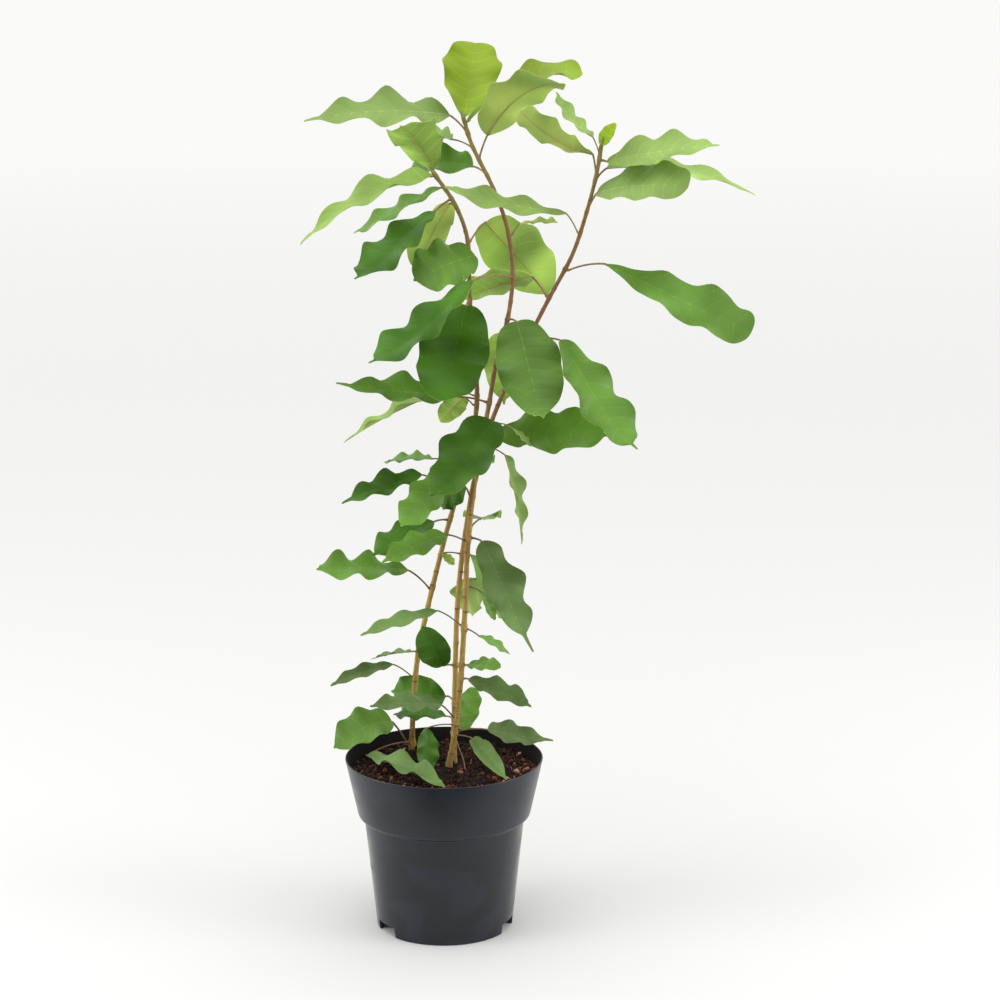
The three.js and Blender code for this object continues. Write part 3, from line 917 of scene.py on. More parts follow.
        broad = self.breadth(leaf, place)
        turn = FULL_TURN * self.ripples * place + leaf.phase
        drift = chance.uniform(0, FULL_TURN, 2)
        half = leaf.width / 2 * broad * (1 + leaf.lobe * np.sin(turn))
        closing = np.clip((1 - place) / max(leaf.drip, self.least_drip), 0, 1)
        narrow = self.tip_half_width + (self.drip_half_width - self.tip_half_width) * closing
        half = np.maximum(half, np.where(place < 0.5, self.petiole_radius, narrow))
        ripple = leaf.width * leaf.wave * broad
        wave = np.where(across < 0, np.sin(turn), np.cos(turn))
        drift = np.where(across < 0, drift[0], drift[1])
        finer = self.finer_height * np.sin(self.finer_ripples * turn + drift)
        fold = np.radians(leaf.fold)
        rise = np.where(half > self.petiole_radius, half * math.sin(fold), 0.0)
        rippled = wave * reach**self.ripple_curve + finer * reach**self.finer_curve
        lift = rise * reach**self.fold_curve + ripple * rippled
        bulge = np.minimum(half / self.full_quilting, self.most_quilting) * swell[:, None]
        # The skin stands up most half-way to the margin. The sine stays above zero for its root.
        lift = lift + self.quilting * bulge * np.sin(math.pi * np.minimum(reach, 0.96)) ** 0.7
        sunk = np.concatenate([[False], strips]) | np.concatenate([strips, [False]])
        sunk = sunk[:, None] * self.vein_depth * (reach < self.vein_reach)

        flat = middle + side * (half * math.cos(fold) * across)[..., None]
        thin = self.thickness / 2 * np.clip(1 + self.thin_margin - reach, self.thin_margin, 1.0)
        top = flat + normal * (lift + thin - sunk)[..., None]
        below = flat + normal * (lift - thin - self.vein_depth_below * sunk)[..., None]

        rows, columns = place.shape
        grid = grid_faces(rows, columns)
        column = np.tile((across[1:] + across[:-1]) / 2, rows - 1)
        vein = np.repeat(strips, columns - 1) & (np.abs(column) < self.vein_colour_reach)
        into.add(top, grid, np.where(vein, self.vein_above, 0) + shade)
        into.add(below, grid[:, ::-1], np.where(vein, self.vein_below, self.lower + shade))

        rim = np.concatenate(
            [
                np.arange(rows) * columns,
                (rows - 1) * columns + np.arange(1, columns),
                np.arange(rows - 2, -1, -1) * columns + columns - 1,
                np.arange(columns - 2, -1, -1),
            ]
        )
        edge = np.stack([top.reshape(-1, 3)[rim], below.reshape(-1, 3)[rim]], axis=1)
        into.add(edge, grid_faces(len(rim), 2)[:, ::-1], self.margin)
        self.rib(midrib, leaf, into)

    def rib(self, midrib: Path, leaf: Leaf, into: Patchwork) -> None:
        """Adds the midrib: a slim tapering bar that shows a little above and stands out below.

        Args:
            midrib: The way it follows.
            leaf: The leaf's row.
            into: The piece that it joins.
        """
        shares = np.linspace(0, self.rib_reach, self.rib_rings)
        girth = self.petiole_radius * np.clip(leaf.width / self.full_width, self.least_rib, 1.0)
        radii = girth * (1 - shares) ** self.rib_taper * self.rib_share + self.rib_end
        points = tube(midrib, shares, radii, self.rib_sides)
        _, _, normal = midrib.at(shares)
        sink = self.rib_sunk * radii - self.rib_raised
        points = points - (normal * sink[:, None])[:, None]
        faces = ring_faces(len(shares), self.rib_sides)
        # The first point of a ring lies on the normal, so the faces beside it show above.
        turns = np.tile(np.arange(self.rib_sides), len(shares) - 1)
        above = (turns == 0) | (turns == self.rib_sides - 1)
        into.add(points, faces, np.where(above, self.rib_above, self.rib_below))

    def stalk(self, leaf: Leaf, root: Array, foot: Array, finish: int, into: Patchwork) -> Array:
        """Grows a petiole from inside the bark to its blade's base.

        Args:
            leaf: The leaf's row.
            root: Where it starts, inside the stem.
            foot: Where the source's petiole starts.
            finish: The number of its material.
            into: The piece that it joins.

        Returns:
            The base of the blade.
        """
        petiole = np.array(leaf.petiole, float)
        base = foot + petiole
        line = bezier(foot, foot + self.setting_off(petiole), base)
        if np.linalg.norm(foot - root) > CLEAR:
            line = np.concatenate([root[None], line])
        # It runs on under the blade's first stretch, where the midrib takes over.
        overlap = min(self.petiole_overlap, self.narrow_overlap * leaf.width)
        onward = base + unit(np.array(leaf.blade, float)) * overlap
        path = Path(np.concatenate([line, onward[None]]), np.array([0.3, -1.0, 0.2]), 60)
        shares = np.linspace(0, 1, max(8, int(path.length / self.petiole_step)))
        girth = self.petiole_radius * np.clip(leaf.width / self.full_width, self.least_petiole, 1.0)
        cushion = np.exp(-((shares * path.length / self.cushion_length) ** 2))
        radii = girth * (self.petiole_waist + self.petiole_gain * shares**3)
        radii = radii + (self.cushion_radius - self.petiole_waist) * cushion * girth
        radii[-1] = self.petiole_end
        rings = tube(path, shares, radii, self.petiole_sides)
        into.add(rings, ring_faces(len(shares), self.petiole_sides), finish)
        return base


class Side(Enum):
    """The three stems, by where their shoots stand."""

    LEFT = "left"
    CENTRE = "centre"
    RIGHT = "right"


@dataclass(frozen=True)
class Stem:
    """A slender stem with its leaves: its route from the soil to its tip, and what it carries."""

    side: Side
    foot_radius: float
    tip_radius: float
    route: tuple[Triple, ...]
    shoot: tuple[Leaf, ...]
    leaves: tuple[Leaf, ...]
    root_flare: float = 1.35
    flare_height: float = 14.0
    flare_curve: float = 1.5
    sides: int = 30
    step: float = 1.3
    joint_swelling: tuple[float, float] = (0.2, 3.0)  # share of the radius, and length
    scar_swelling: tuple[float, float] = (0.07, 1.8)
    scar_spacing: float = 17.0
    scar_scatter: float = 5.0
    unscarred: float = 30.0  # how far from the tip the scars end
    lenticels: int = 130
    corky: float = 0.8  # how far up the stem they reach
    wart: float = 0.1  # how far a lenticel or scar stands out, as a share of the radius
    ridges: int = 3  # round the stem
    ridge_height: float = 0.02
    ridge_winding: float = 23.0  # the length of stem over which they shift by one radian
    unevenness: float = 0.012
    band_blur: float = 0.35  # how far neighbouring bands of bark mix, in bands
    petiole_root: float = 0.4  # where in the stem its petioles start, in radii from the middle
    bud_length: float = 8.0
    bud_radius: float = 1.7
    bud_curve: float = 2.2  # how late its taper comes
    bud_tip: float = 0.05
    bud_sides: int = 12

    def path(self) -> Path:
        """Gives the stem's curve."""
        return Path(catmull_rom(np.array(self.route, float)), FRONT, 600)

    def foot_of(self, leaf: Leaf, sunk: bool, path: Path, maker: LeafMaker) -> tuple[Array, Array]:
        """Finds where a leaf starts.

        Args:
            leaf: The leaf's row.
            sunk: Whether it starts on the stem's middle line, as a shoot's leaves do.
            path: The stem's curve.
            maker: What grows the leaf.

        Returns:
            The foot of its petiole, and the point inside the bark that the petiole is drawn from.
        """
        share = path.place_at_height(leaf.up)
        middle, tangent, _ = (v[0] for v in path.at(np.array([share])))
        if sunk:
            return middle, middle
        way = unit(maker.setting_off(np.array(leaf.petiole, float)))
        outward = unit(way - (way @ tangent) * tangent)
        slant = math.sin(math.acos(np.clip(way @ outward, -1, 1)))
        radius = self.foot_radius + (self.tip_radius - self.foot_radius) * share
        foot = middle + outward * (radius + CLEAR + maker.petiole_radius * slant)
        return foot, middle + outward * self.petiole_root * radius

    def build(self, bark: list[bpy.types.Material], bands: int) -> bpy.types.Object:
        """Builds the stem with its flare, leaf scars, lenticels and end bud.

        Args:
            bark: The bands of bark from the foot up, the lenticels, the scars and the bud.
            bands: How many of them are bands.

        Returns:
            The piece.
        """
        chance = np.random.default_rng(SEED + len(self.route))
        path = self.path()
        rings = int(path.length / self.step)
        shares = np.linspace(0, 1, rings)
        travelled = shares * path.length
        radii = self.foot_radius + (self.tip_radius - self.foot_radius) * shares
        flare = np.clip(1 - travelled / self.flare_height, 0, 1)
        radii = radii * (1 + (self.root_flare - 1) * flare**self.flare_curve)
        joints = [path.place_at_height(leaf.up) * path.length for leaf in self.leaves + self.shoot]
        scars = np.arange(self.scar_spacing, path.length - self.unscarred, self.scar_spacing)
        scars = scars + chance.uniform(-self.scar_scatter, self.scar_scatter, len(scars))
        for places, (share, reach) in ((joints, self.joint_swelling), (scars, self.scar_swelling)):
            for place in places:
                radii = radii * (1 + share * np.exp(-(((travelled - place) / reach) ** 2)))
        around = np.arange(self.sides) / self.sides * FULL_TURN
        turning = self.ridges * around[None] + travelled[:, None] / self.ridge_winding
        skin = 1 + self.ridge_height * np.sin(turning)
        skin = skin + chance.normal(0, self.unevenness, (rings, self.sides))

        blur = chance.uniform(-self.band_blur, self.band_blur, rings)
        number = np.clip(shares * bands + blur, 0, bands - 1)
        finish = np.repeat(number.astype(int)[:-1], self.sides).reshape(rings - 1, self.sides)
        for _ in range(self.lenticels):
            row = int(chance.integers(2, int(rings * self.corky)))
            column = int(chance.integers(self.sides))
            skin[row, column] += self.wart
            finish[row - 1 : row + 1, column] = bands
        for scar in scars:
            row = min(int(scar / self.step), rings - 3)
            column = int(chance.integers(self.sides))
            wide = (column + np.arange(self.sides // 3)) % self.sides
            skin[row, wide] += self.wart
            finish[row, wide] = bands + 1

        into = Patchwork()
        points = tube(path, shares, radii[:, None] * skin, self.sides)
        into.add(points, ring_faces(rings, self.sides), finish.ravel())
        self.bud(path, into, bands + 2)
        return into.piece(f"stem_{self.side.value}_bark", bark, 50)

    def bud(self, path: Path, into: Patchwork, finish: int) -> None:
        """Adds the pointed bud at the stem's tip.

        Args:
            path: The stem's curve.
            into: The piece that it joins.
            finish: The number of its material.
        """
        tip, way = path.points[-1], path.tangents[-1]
        line = Path(np.stack([tip - way, tip, tip + way * self.bud_length]), FRONT, 20)
        shares = np.linspace(0, 1, self.bud_sides)
        radii = self.tip_radius + (self.bud_radius - self.tip_radius) * np.sin(math.pi * shares)
        radii = radii * (1 - shares**self.bud_curve) + self.bud_tip
        faces = ring_faces(self.bud_sides, self.bud_sides)
        into.add(tube(line, shares, radii, self.bud_sides), faces, finish)


STEMS = (
    Stem(
        Side.LEFT, 2.4, 1.6,
        (
            (-29, 50, 140), (-28, 46, 176), (-23, 39, 230), (-15, 34, 270), (1, 27, 337),
            (15, 21, 390), (28, 15, 450), (27, 9, 500), (23, 5, 546), (21, 5, 597), (11, 5, 625),
            (-7, 5, 652),
        ),
        (
            Leaf(
                650, (-1, 0, 3), (-26, -30, 40), 46, (0.3, 0.85, 0.1), PALE,
                arch=0.1, fold=20, tip=0.4, lobe=0.09, shade=0,
            ),
            Leaf(
                648, (-3, 0, 1), (-107, -40, -51), 26, (-0.35, -0.55, 0.75), PALE,
                arch=0.13, fold=24, base=0.6, tip=0.85, drip=0.08, lobe=0.12, wave=0.16, shade=2,
            ),
            Leaf(638, (-4, 2, 1), (-74, 45, -44), 24, (0, -0.5, 0.85), FRESH, arch=0, wave=0.13),
            Leaf(
                630, (-14, -6, -10), (-64, -50, -48), 42, (-0.5, -0.6, 0.6), DEEP,
                droop=0.14, base=0.7, tip=0.42, phase=2, shade=2,
            ),
            Leaf(
                624, (-5, 4, 2), (-31, 40, -64), 32, (-0.3, 0.9, 0.3), PALE, base=0.6, shade=2,
            ),
        ),
        (
            Leaf(
                144, (-14, -6, 24), (-50, -14, -20), 38, (-0.2, -0.6, 0.8), FRESH,
                arch=0.2, base=0.5, tip=0.6, drip=0.03, lobe=0.04, wave=0.07, shade=1,
            ),
            Leaf(
                148, (-36, -35, -1), (69, -87, 1), 24, (0, -0.25, 0.97), GREY,
                fold=24, base=0.6, tip=0.6, drip=0.03, lobe=0.14, wave=0.18, shade=1,
            ),
            Leaf(209, (-16, -6, 13), (-52, -35, -9), 15, (0, -0.5, 0.85), GREY, arch=0.08, tip=0.7),
            Leaf(233, (-3, -3, 1), (-37, 30, -16), 14, (0, -0.1, 0.99), GREY, tip=0.6),
            Leaf(
                291, (-17, -12, 19), (-76, -40, 11), 28, (0, -0.55, 0.83), FRESH,
                base=0.7, tip=0.4, drip=0.03, lobe=0.22, wave=0.14, shade=1,
            ),
            Leaf(
                353, (-11, -6, 0), (-51, -45, -19), 28, (-0.2, -0.7, 0.65), DEEP,
                lobe=0.1, shade=1,
            ),
            Leaf(
                376, (-26, -14, 20), (-67, -25, -19), 24, (0, -0.6, 0.8), DEEP,
                fold=24, tip=0.7, drip=0.1, lobe=0.1, wave=0.16, shade=1,
            ),
            Leaf(402, (-25, -12, 8), (-42, 40, -12), 20, (-0.1, -0.2, 0.96), FRESH, shade=2),
            Leaf(455, (-8, -3, 8), (-20, 30, -28), 20, (0.3, 0.8, 0.5), PALE, base=0.5, drip=0),
            Leaf(
                463, (-26, 6, 3), (-86, 35, -52), 20, (-0.4, -0.2, 0.9), PALE,
                fold=26, tip=0.8, drip=0.1, lobe=0.12, wave=0.16, shade=1,
            ),
            Leaf(
                546, (-2, -6, -3), (-21, -50, -71), 59, (-0.1, -0.95, 0.3), DEEP,
                droop=0.22, base=0.5, tip=0.5, drip=0, lobe=0.03, wave=0.08, shade=2,
            ),
            Leaf(
                573, (3, -4, 11), (-50, -26, -17), 46, (0, -0.75, 0.65), FRESH,
                arch=0.08, fold=7, base=0.55, tip=0.45, drip=0.03, lobe=0.04, shade=1,
            ),
            Leaf(
                594, (13, 18, 14), (54, 50, -70), 54, (-0.1, 0.87, 0.45), PALE,
                base=0.5, tip=0.5, drip=0.03, lobe=0.04, wave=0.05, phase=0.5, shade=1,
            ),
            Leaf(500, (-4, 18, 6), (-18, 58, -16), 34, (-0.2, 0.2, 0.95), DEEP),
        ),
    ),
    Stem(
        Side.CENTRE, 2.5, 1.5,
        (
            (4, 4, 140), (9, 3, 170), (14, 1, 215), (18, 0, 275), (21, 0, 340), (28, 0, 400),
            (38, 0, 454), (46, 0, 500), (55, 0, 534), (58.5, 0, 570), (54, 0, 606), (43, 0, 638),
            (25, 0, 675), (18, 0, 697),
        ),
        (
            Leaf(
                695, (0, 0, 2), (9, 45, 57), 49, (0, -1, 0.1), YOUNG,
                fold=14, base=0.85, tip=0.5, drip=0, lobe=0.05, wave=0.07, phase=2, shade=1,
            ),
            Leaf(
                685, (-1, 5, 8), (95, 40, 38), 42, (-0.5, 0.15, 0.85), YOUNG,
                arch=0.14, twist=45, tip=0.4, drip=0, shade=0,
            ),
            Leaf(
                663, (7, -3, 20), (58, -45, 46), 50, (-0.35, 0.75, 0.55), PALE,
                arch=0.2, base=0.5, tip=0.45, drip=0.02, lobe=0.03, wave=0.06, shade=2,
            ),
            Leaf(
                684, (-15, 10, 14), (-117, -38, -1), 36, (0, -0.6, 0.8), PALE,
                arch=0.08, base=0.6, tip=0.75, drip=0.08, lobe=0.14, wave=0.15, shade=0,
            ),
            Leaf(672, (-18, 13, 6), (-30, 50, 0), 24, (0, -0.3, 0.95), PALE),
            Leaf(
                650, (-12, 20, 5), (-60, 45, -16), 36, (0, -0.6, 0.8), FRESH,
                arch=0.16, base=0.55, tip=0.6, lobe=0.04, shade=1,
            ),
        ),
        (
            Leaf(178, (-23, -14, 1), (2, -6, -35), 20, (0.3, -0.8, 0.3), DEEP, base=0.6, drip=0),
            Leaf(
                185, (-10, -4, 12), (-59, -35, 9), 26, (0, -0.35, 0.93), GREY,
                base=0.6, tip=0.7, drip=0.03, shade=0,
            ),
            Leaf(
                169, (13, -6, -1), (29, -56, -18), 19, (-0.5, 0, 0.85), GREY,
                fold=35, base=0.6, tip=0.6, shade=1,
            ),
            Leaf(
                220, (4, -1, 0), (53, -35, -14), 23, (0.3, -0.6, 0.75), GREY,
                base=0.6, lobe=0.09, wave=0.13, shade=0,
            ),
            Leaf(
                232, (3, -1, 1), (27, -30, 6), 16, (0, -0.6, 0.8), FRESH,
                base=0.5, drip=0, shade=1,
            ),
            Leaf(264, (10, -1, -6), (26, 25, -23), 12, (0.4, -0.5, 0.75), FRESH, drip=0.1),
            Leaf(267, (-19, -4, 14), (-64, -35, -12), 17, (0, -0.4, 0.9), GREY, tip=0.7, shade=2),
            Leaf(301, (11, 3, -6), (11, 3, -25), 10, (0.3, -0.7, 0.5), FRESH),
            Leaf(305, (14, 22, -4), (-22, 35, -35), 32, (0, -0.9, 0.4), PALE),
            Leaf(328, (2, 5, -1), (30, 35, -67), 26, (0.3, -0.7, 0.6), FRESH, shade=2),
            Leaf(
                341, (-16, -6, 7), (-52, -40, -14), 26, (-0.1, -0.6, 0.8), FRESH,
                base=0.6, tip=0.6, lobe=0.08, shade=1,
            ),
            Leaf(
                344, (9, -3, -2), (43, -45, -84), 35, (0.3, -0.85, 0.45), GREY,
                droop=0.12, base=0.6, tip=0.62, drip=0.16, lobe=0.22, wave=0.15, shade=1,
            ),
            Leaf(380, (-3, -3, 8), (-26, 12, -9), 34, (0, -0.9, 0.4), DEEP, base=0.5, drip=0),
            Leaf(
                402, (-22, -14, 2), (-38, -35, -38), 32, (-0.3, -0.8, 0.5), FRESH,
                droop=0.16, base=0.55, tip=0.5, drip=0.03, lobe=0.08, shade=2,
            ),
            Leaf(
                424, (18, 2, -9), (14, 25, -83), 20, (0.8, -0.5, 0.2), PALE,
                fold=30, base=0.6, tip=0.8, drip=0.1, lobe=0.14, wave=0.16, shade=0,
            ),
            Leaf(
                444, (5, -5, 2), (-52, -55, -52), 50, (-0.3, -0.75, 0.6), DEEP,
                droop=0.22, base=0.5, tip=0.75, drip=0.03, lobe=0.05, wave=0.08, shade=1,
            ),
            Leaf(
                460, (-32, -4, 5), (-92, -20, 16), 30, (0, -0.6, 0.8), FRESH,
                droop=0.1, fold=20, base=0.55, tip=0.85, drip=0.1, lobe=0.1, wave=0.13, shade=1,
            ),
            Leaf(
                517, (-1, 20, -2), (2, 40, -69), 34, (0, 0.9, 0.3), PALE,
                base=0.55, tip=0.6, lobe=0.03, wave=0.05, shade=0,
            ),
            Leaf(
                531, (6, -10, 0), (22, -50, -71), 55, (0.15, -0.95, 0.25), FRESH,
                droop=0.2, base=0.5, tip=0.55, drip=0.03, lobe=0.03, wave=0.08, shade=0,
            ),
            Leaf(
                566, (-29, -33, 3), (-86, -38, -62), 42, (-0.5, -0.5, 0.7), DEEP,
                arch=-0.03, droop=0.1, base=0.8, tip=0.42, drip=0.06, lobe=0.07, shade=2,
            ),
            Leaf(600, (6, 2, 9), (32, 30, -3), 14, (0, 0.5, 0.85), PALE, shade=2),
            Leaf(395, (6, 18, 6), (-10, 58, -16), 34, (-0.2, 0.2, 0.95), FRESH),
            Leaf(352, (8, 15, 4), (3, 58, -15), 34, (0, 0.25, 0.97), DEEP),
        ),
    ),
    Stem(
        Side.RIGHT, 2.4, 1.5,
        (
            (8, 14, 140), (9, 14, 196), (12, 16, 285), (18, 17, 340), (28, 16, 398), (41, 15, 441),
            (65, 15, 497), (88, 14, 544), (108, 10, 583), (119, 7, 617), (128, 4, 654),
            (131, 3, 674),
        ),
        (
            Leaf(
                672, (0, 0, 2), (12, 0, 18), 14, (-0.5, -0.7, 0.4), YOUNG,
                base=0.55, tip=0.7, drip=0, lobe=0, wave=0.03, shade=2,
            ),
            Leaf(
                650, (-3, 0, 17), (-60, -40, 39), 29, (0.1, 0.7, 0.7), PALE,
                arch=-0.12, base=0.85, tip=0.3, drip=0, lobe=0.08, shade=2,
            ),
            Leaf(
                666, (-6, 3, 15), (-29, 35, 33), 20, (0.6, -0.5, 0.5), PALE,
                arch=-0.12, base=0.6, shade=1,
            ),
            Leaf(
                662, (6, -1, -1), (90, -35, 17), 36, (0, -0.75, 0.65), PALE,
                twist=-30, tip=0.7, lobe=0.2, phase=2.2, shade=1,
            ),
            Leaf(
                645, (10, 5, 10), (124, 20, -25), 30, (0, -0.3, 0.95), PALE,
                arch=0.1, base=0.6, tip=0.8, lobe=0.12, shade=2,
            ),
            Leaf(
                619, (8, -4, 16), (72, -45, 10), 47, (0, -0.6, 0.8), PALE,
                arch=0.08, base=0.55, tip=0.3, drip=0, lobe=0.02, wave=0.05, shade=0,
            ),
        ),
        (
            Leaf(165, (4, 4, 2), (11, 25, 31), 20, (0, -1, 0), FRESH, base=0.5, drip=0, shade=1),
            Leaf(
                168, (26, 2, 1), (57, 19, -16), 26, (0, -0.5, 0.85), GREY,
                arch=-0.02, base=0.5, tip=0.75, drip=0.12, shade=0,
            ),
            Leaf(180, (-5, 4, 0), (-46, 14, -3), 22, (0, -0.3, 0.95), DEEP, shade=0),
            Leaf(194, (-8, 32, -5), (-48, 25, -3), 36, (0, -1, 0.15), DEEP, base=0.5, shade=2),
            Leaf(
                228, (-9, -10, 2), (-16, -25, 43), 28, (0, -1, 0), DEEP,
                base=0.55, tip=0.55, drip=0.03, lobe=0.02, wave=0.04, shade=1,
            ),
            Leaf(325, (-15, 6, -1), (10, 3, -11), 8, (0, 0.9, 0.3), PALE),
            Leaf(
                424, (4, 2, 3), (97, -40, 10), 49, (0, -0.6, 0.8), FRESH,
                arch=0.12, droop=0.14, base=0.8, tip=0.55, drip=0.04, lobe=0.05, shade=2,
            ),
            Leaf(439, (18, -36, 4), (14, -5, -14), 10, (0.6, -0.3, 0.7), PALE, shade=0),
            Leaf(501, (3, -8, 4), (7, -12, -55), 30, (0.2, 0.8, 0.5), PALE, base=0.55, shade=2),
            Leaf(
                512, (24, -14, 2), (63, -45, -83), 45, (0.5, -0.7, 0.5), FRESH,
                arch=0, droop=0.14, base=0.6, tip=0.38, drip=0.07, lobe=0.08, wave=0.13, shade=1,
            ),
            Leaf(
                546, (-12, 4, 16), (-61, 35, -26), 40, (0, 0.6, 0.8), PALE,
                base=0.55, tip=0.5, lobe=0.04, wave=0.05, shade=0,
            ),
            Leaf(
                571, (30, -10, 7), (119, -30, -53), 44, (0.3, -0.75, 0.6), FRESH,
                arch=0, base=0.95, tip=0.34, drip=0, lobe=0.06, wave=0.13, shade=1,
            ),
            Leaf(
                601, (-10, -14, 18), (-99, -25, 25), 16, (0.1, -0.85, 0.5), PALE,
                arch=-0.07, lobe=0.34, phase=1.6, shade=1,
            ),
            Leaf(480, (12, 14, 6), (30, 58, -20), 34, (0.2, 0.2, 0.95), DEEP),
        ),
    ),
)


class Foliage:
    """All leaves of the plant: the blades joined by tint, and the petioles joined by stem."""

    petiole_rinds = {"high": Rind("#9a7a50"), "low": Rind("#7c6546"), "young": Rind("#a0985a")}
    high_from = 420.0

    def __init__(self, maker: LeafMaker) -> None:
        """Keeps what grows the leaves, and starts an empty piece for each tint."""
        self.maker = maker
        self.blades = {tint: Patchwork() for tint in Tint}
        self.nodes: dict[Tint, list[str]] = {tint: [] for tint in Tint}

    def petiole_finish(self, leaf: Leaf) -> int:
        """Gives the number of a petiole's finish, by the age of its leaf."""
        if leaf.tint is YOUNG:
            return 2
        return 0 if leaf.up > self.high_from else 1

    def grow(self, stem: Stem, petioles: list[bpy.types.Material]) -> None:
        """Grows one stem's leaves.

        Args:
            stem: The stem that carries them.
            petioles: The petioles' materials.
        """
        path = stem.path()
        stalks = Patchwork()
        name = stem.side.value
        rows = [(leaf, True) for leaf in stem.shoot] + [(leaf, False) for leaf in stem.leaves]
        for number, (leaf, sunk) in enumerate(rows):
            foot, root = stem.foot_of(leaf, sunk, path, self.maker)
            base = self.maker.stalk(leaf, root, foot, self.petiole_finish(leaf), stalks)
            seed = SEED + 100 * list(Side).index(stem.side) + number
            shade = seed % 3 if leaf.shade is None else leaf.shade
            self.maker.blade(leaf, base, shade, seed, self.blades[leaf.tint])
        self.nodes[YOUNG].append(f"shoot_{name}")
        for number, leaf in enumerate(stem.leaves, 1):
            self.nodes[leaf.tint].append(f"leaf_{name}_{number:02d}")
        dress(stalks.piece(f"petioles_{name}", petioles), "bark")

    def build(self) -> None:
        """Builds the blades' pieces once every stem's leaves have grown."""
        petioles = [
            rind.material(f"petiole_skin_{age}") for age, rind in self.petiole_rinds.items()
        ]
        for stem in STEMS:
            self.grow(stem, petioles)
        for tint, blades in self.blades.items():
            piece = blades.piece(f"leaves_{tint.value}", LEAF_SKINS[tint].materials(tint), 55)
            dress(piece, f"{tint.value}_leaf", *self.nodes[tint])


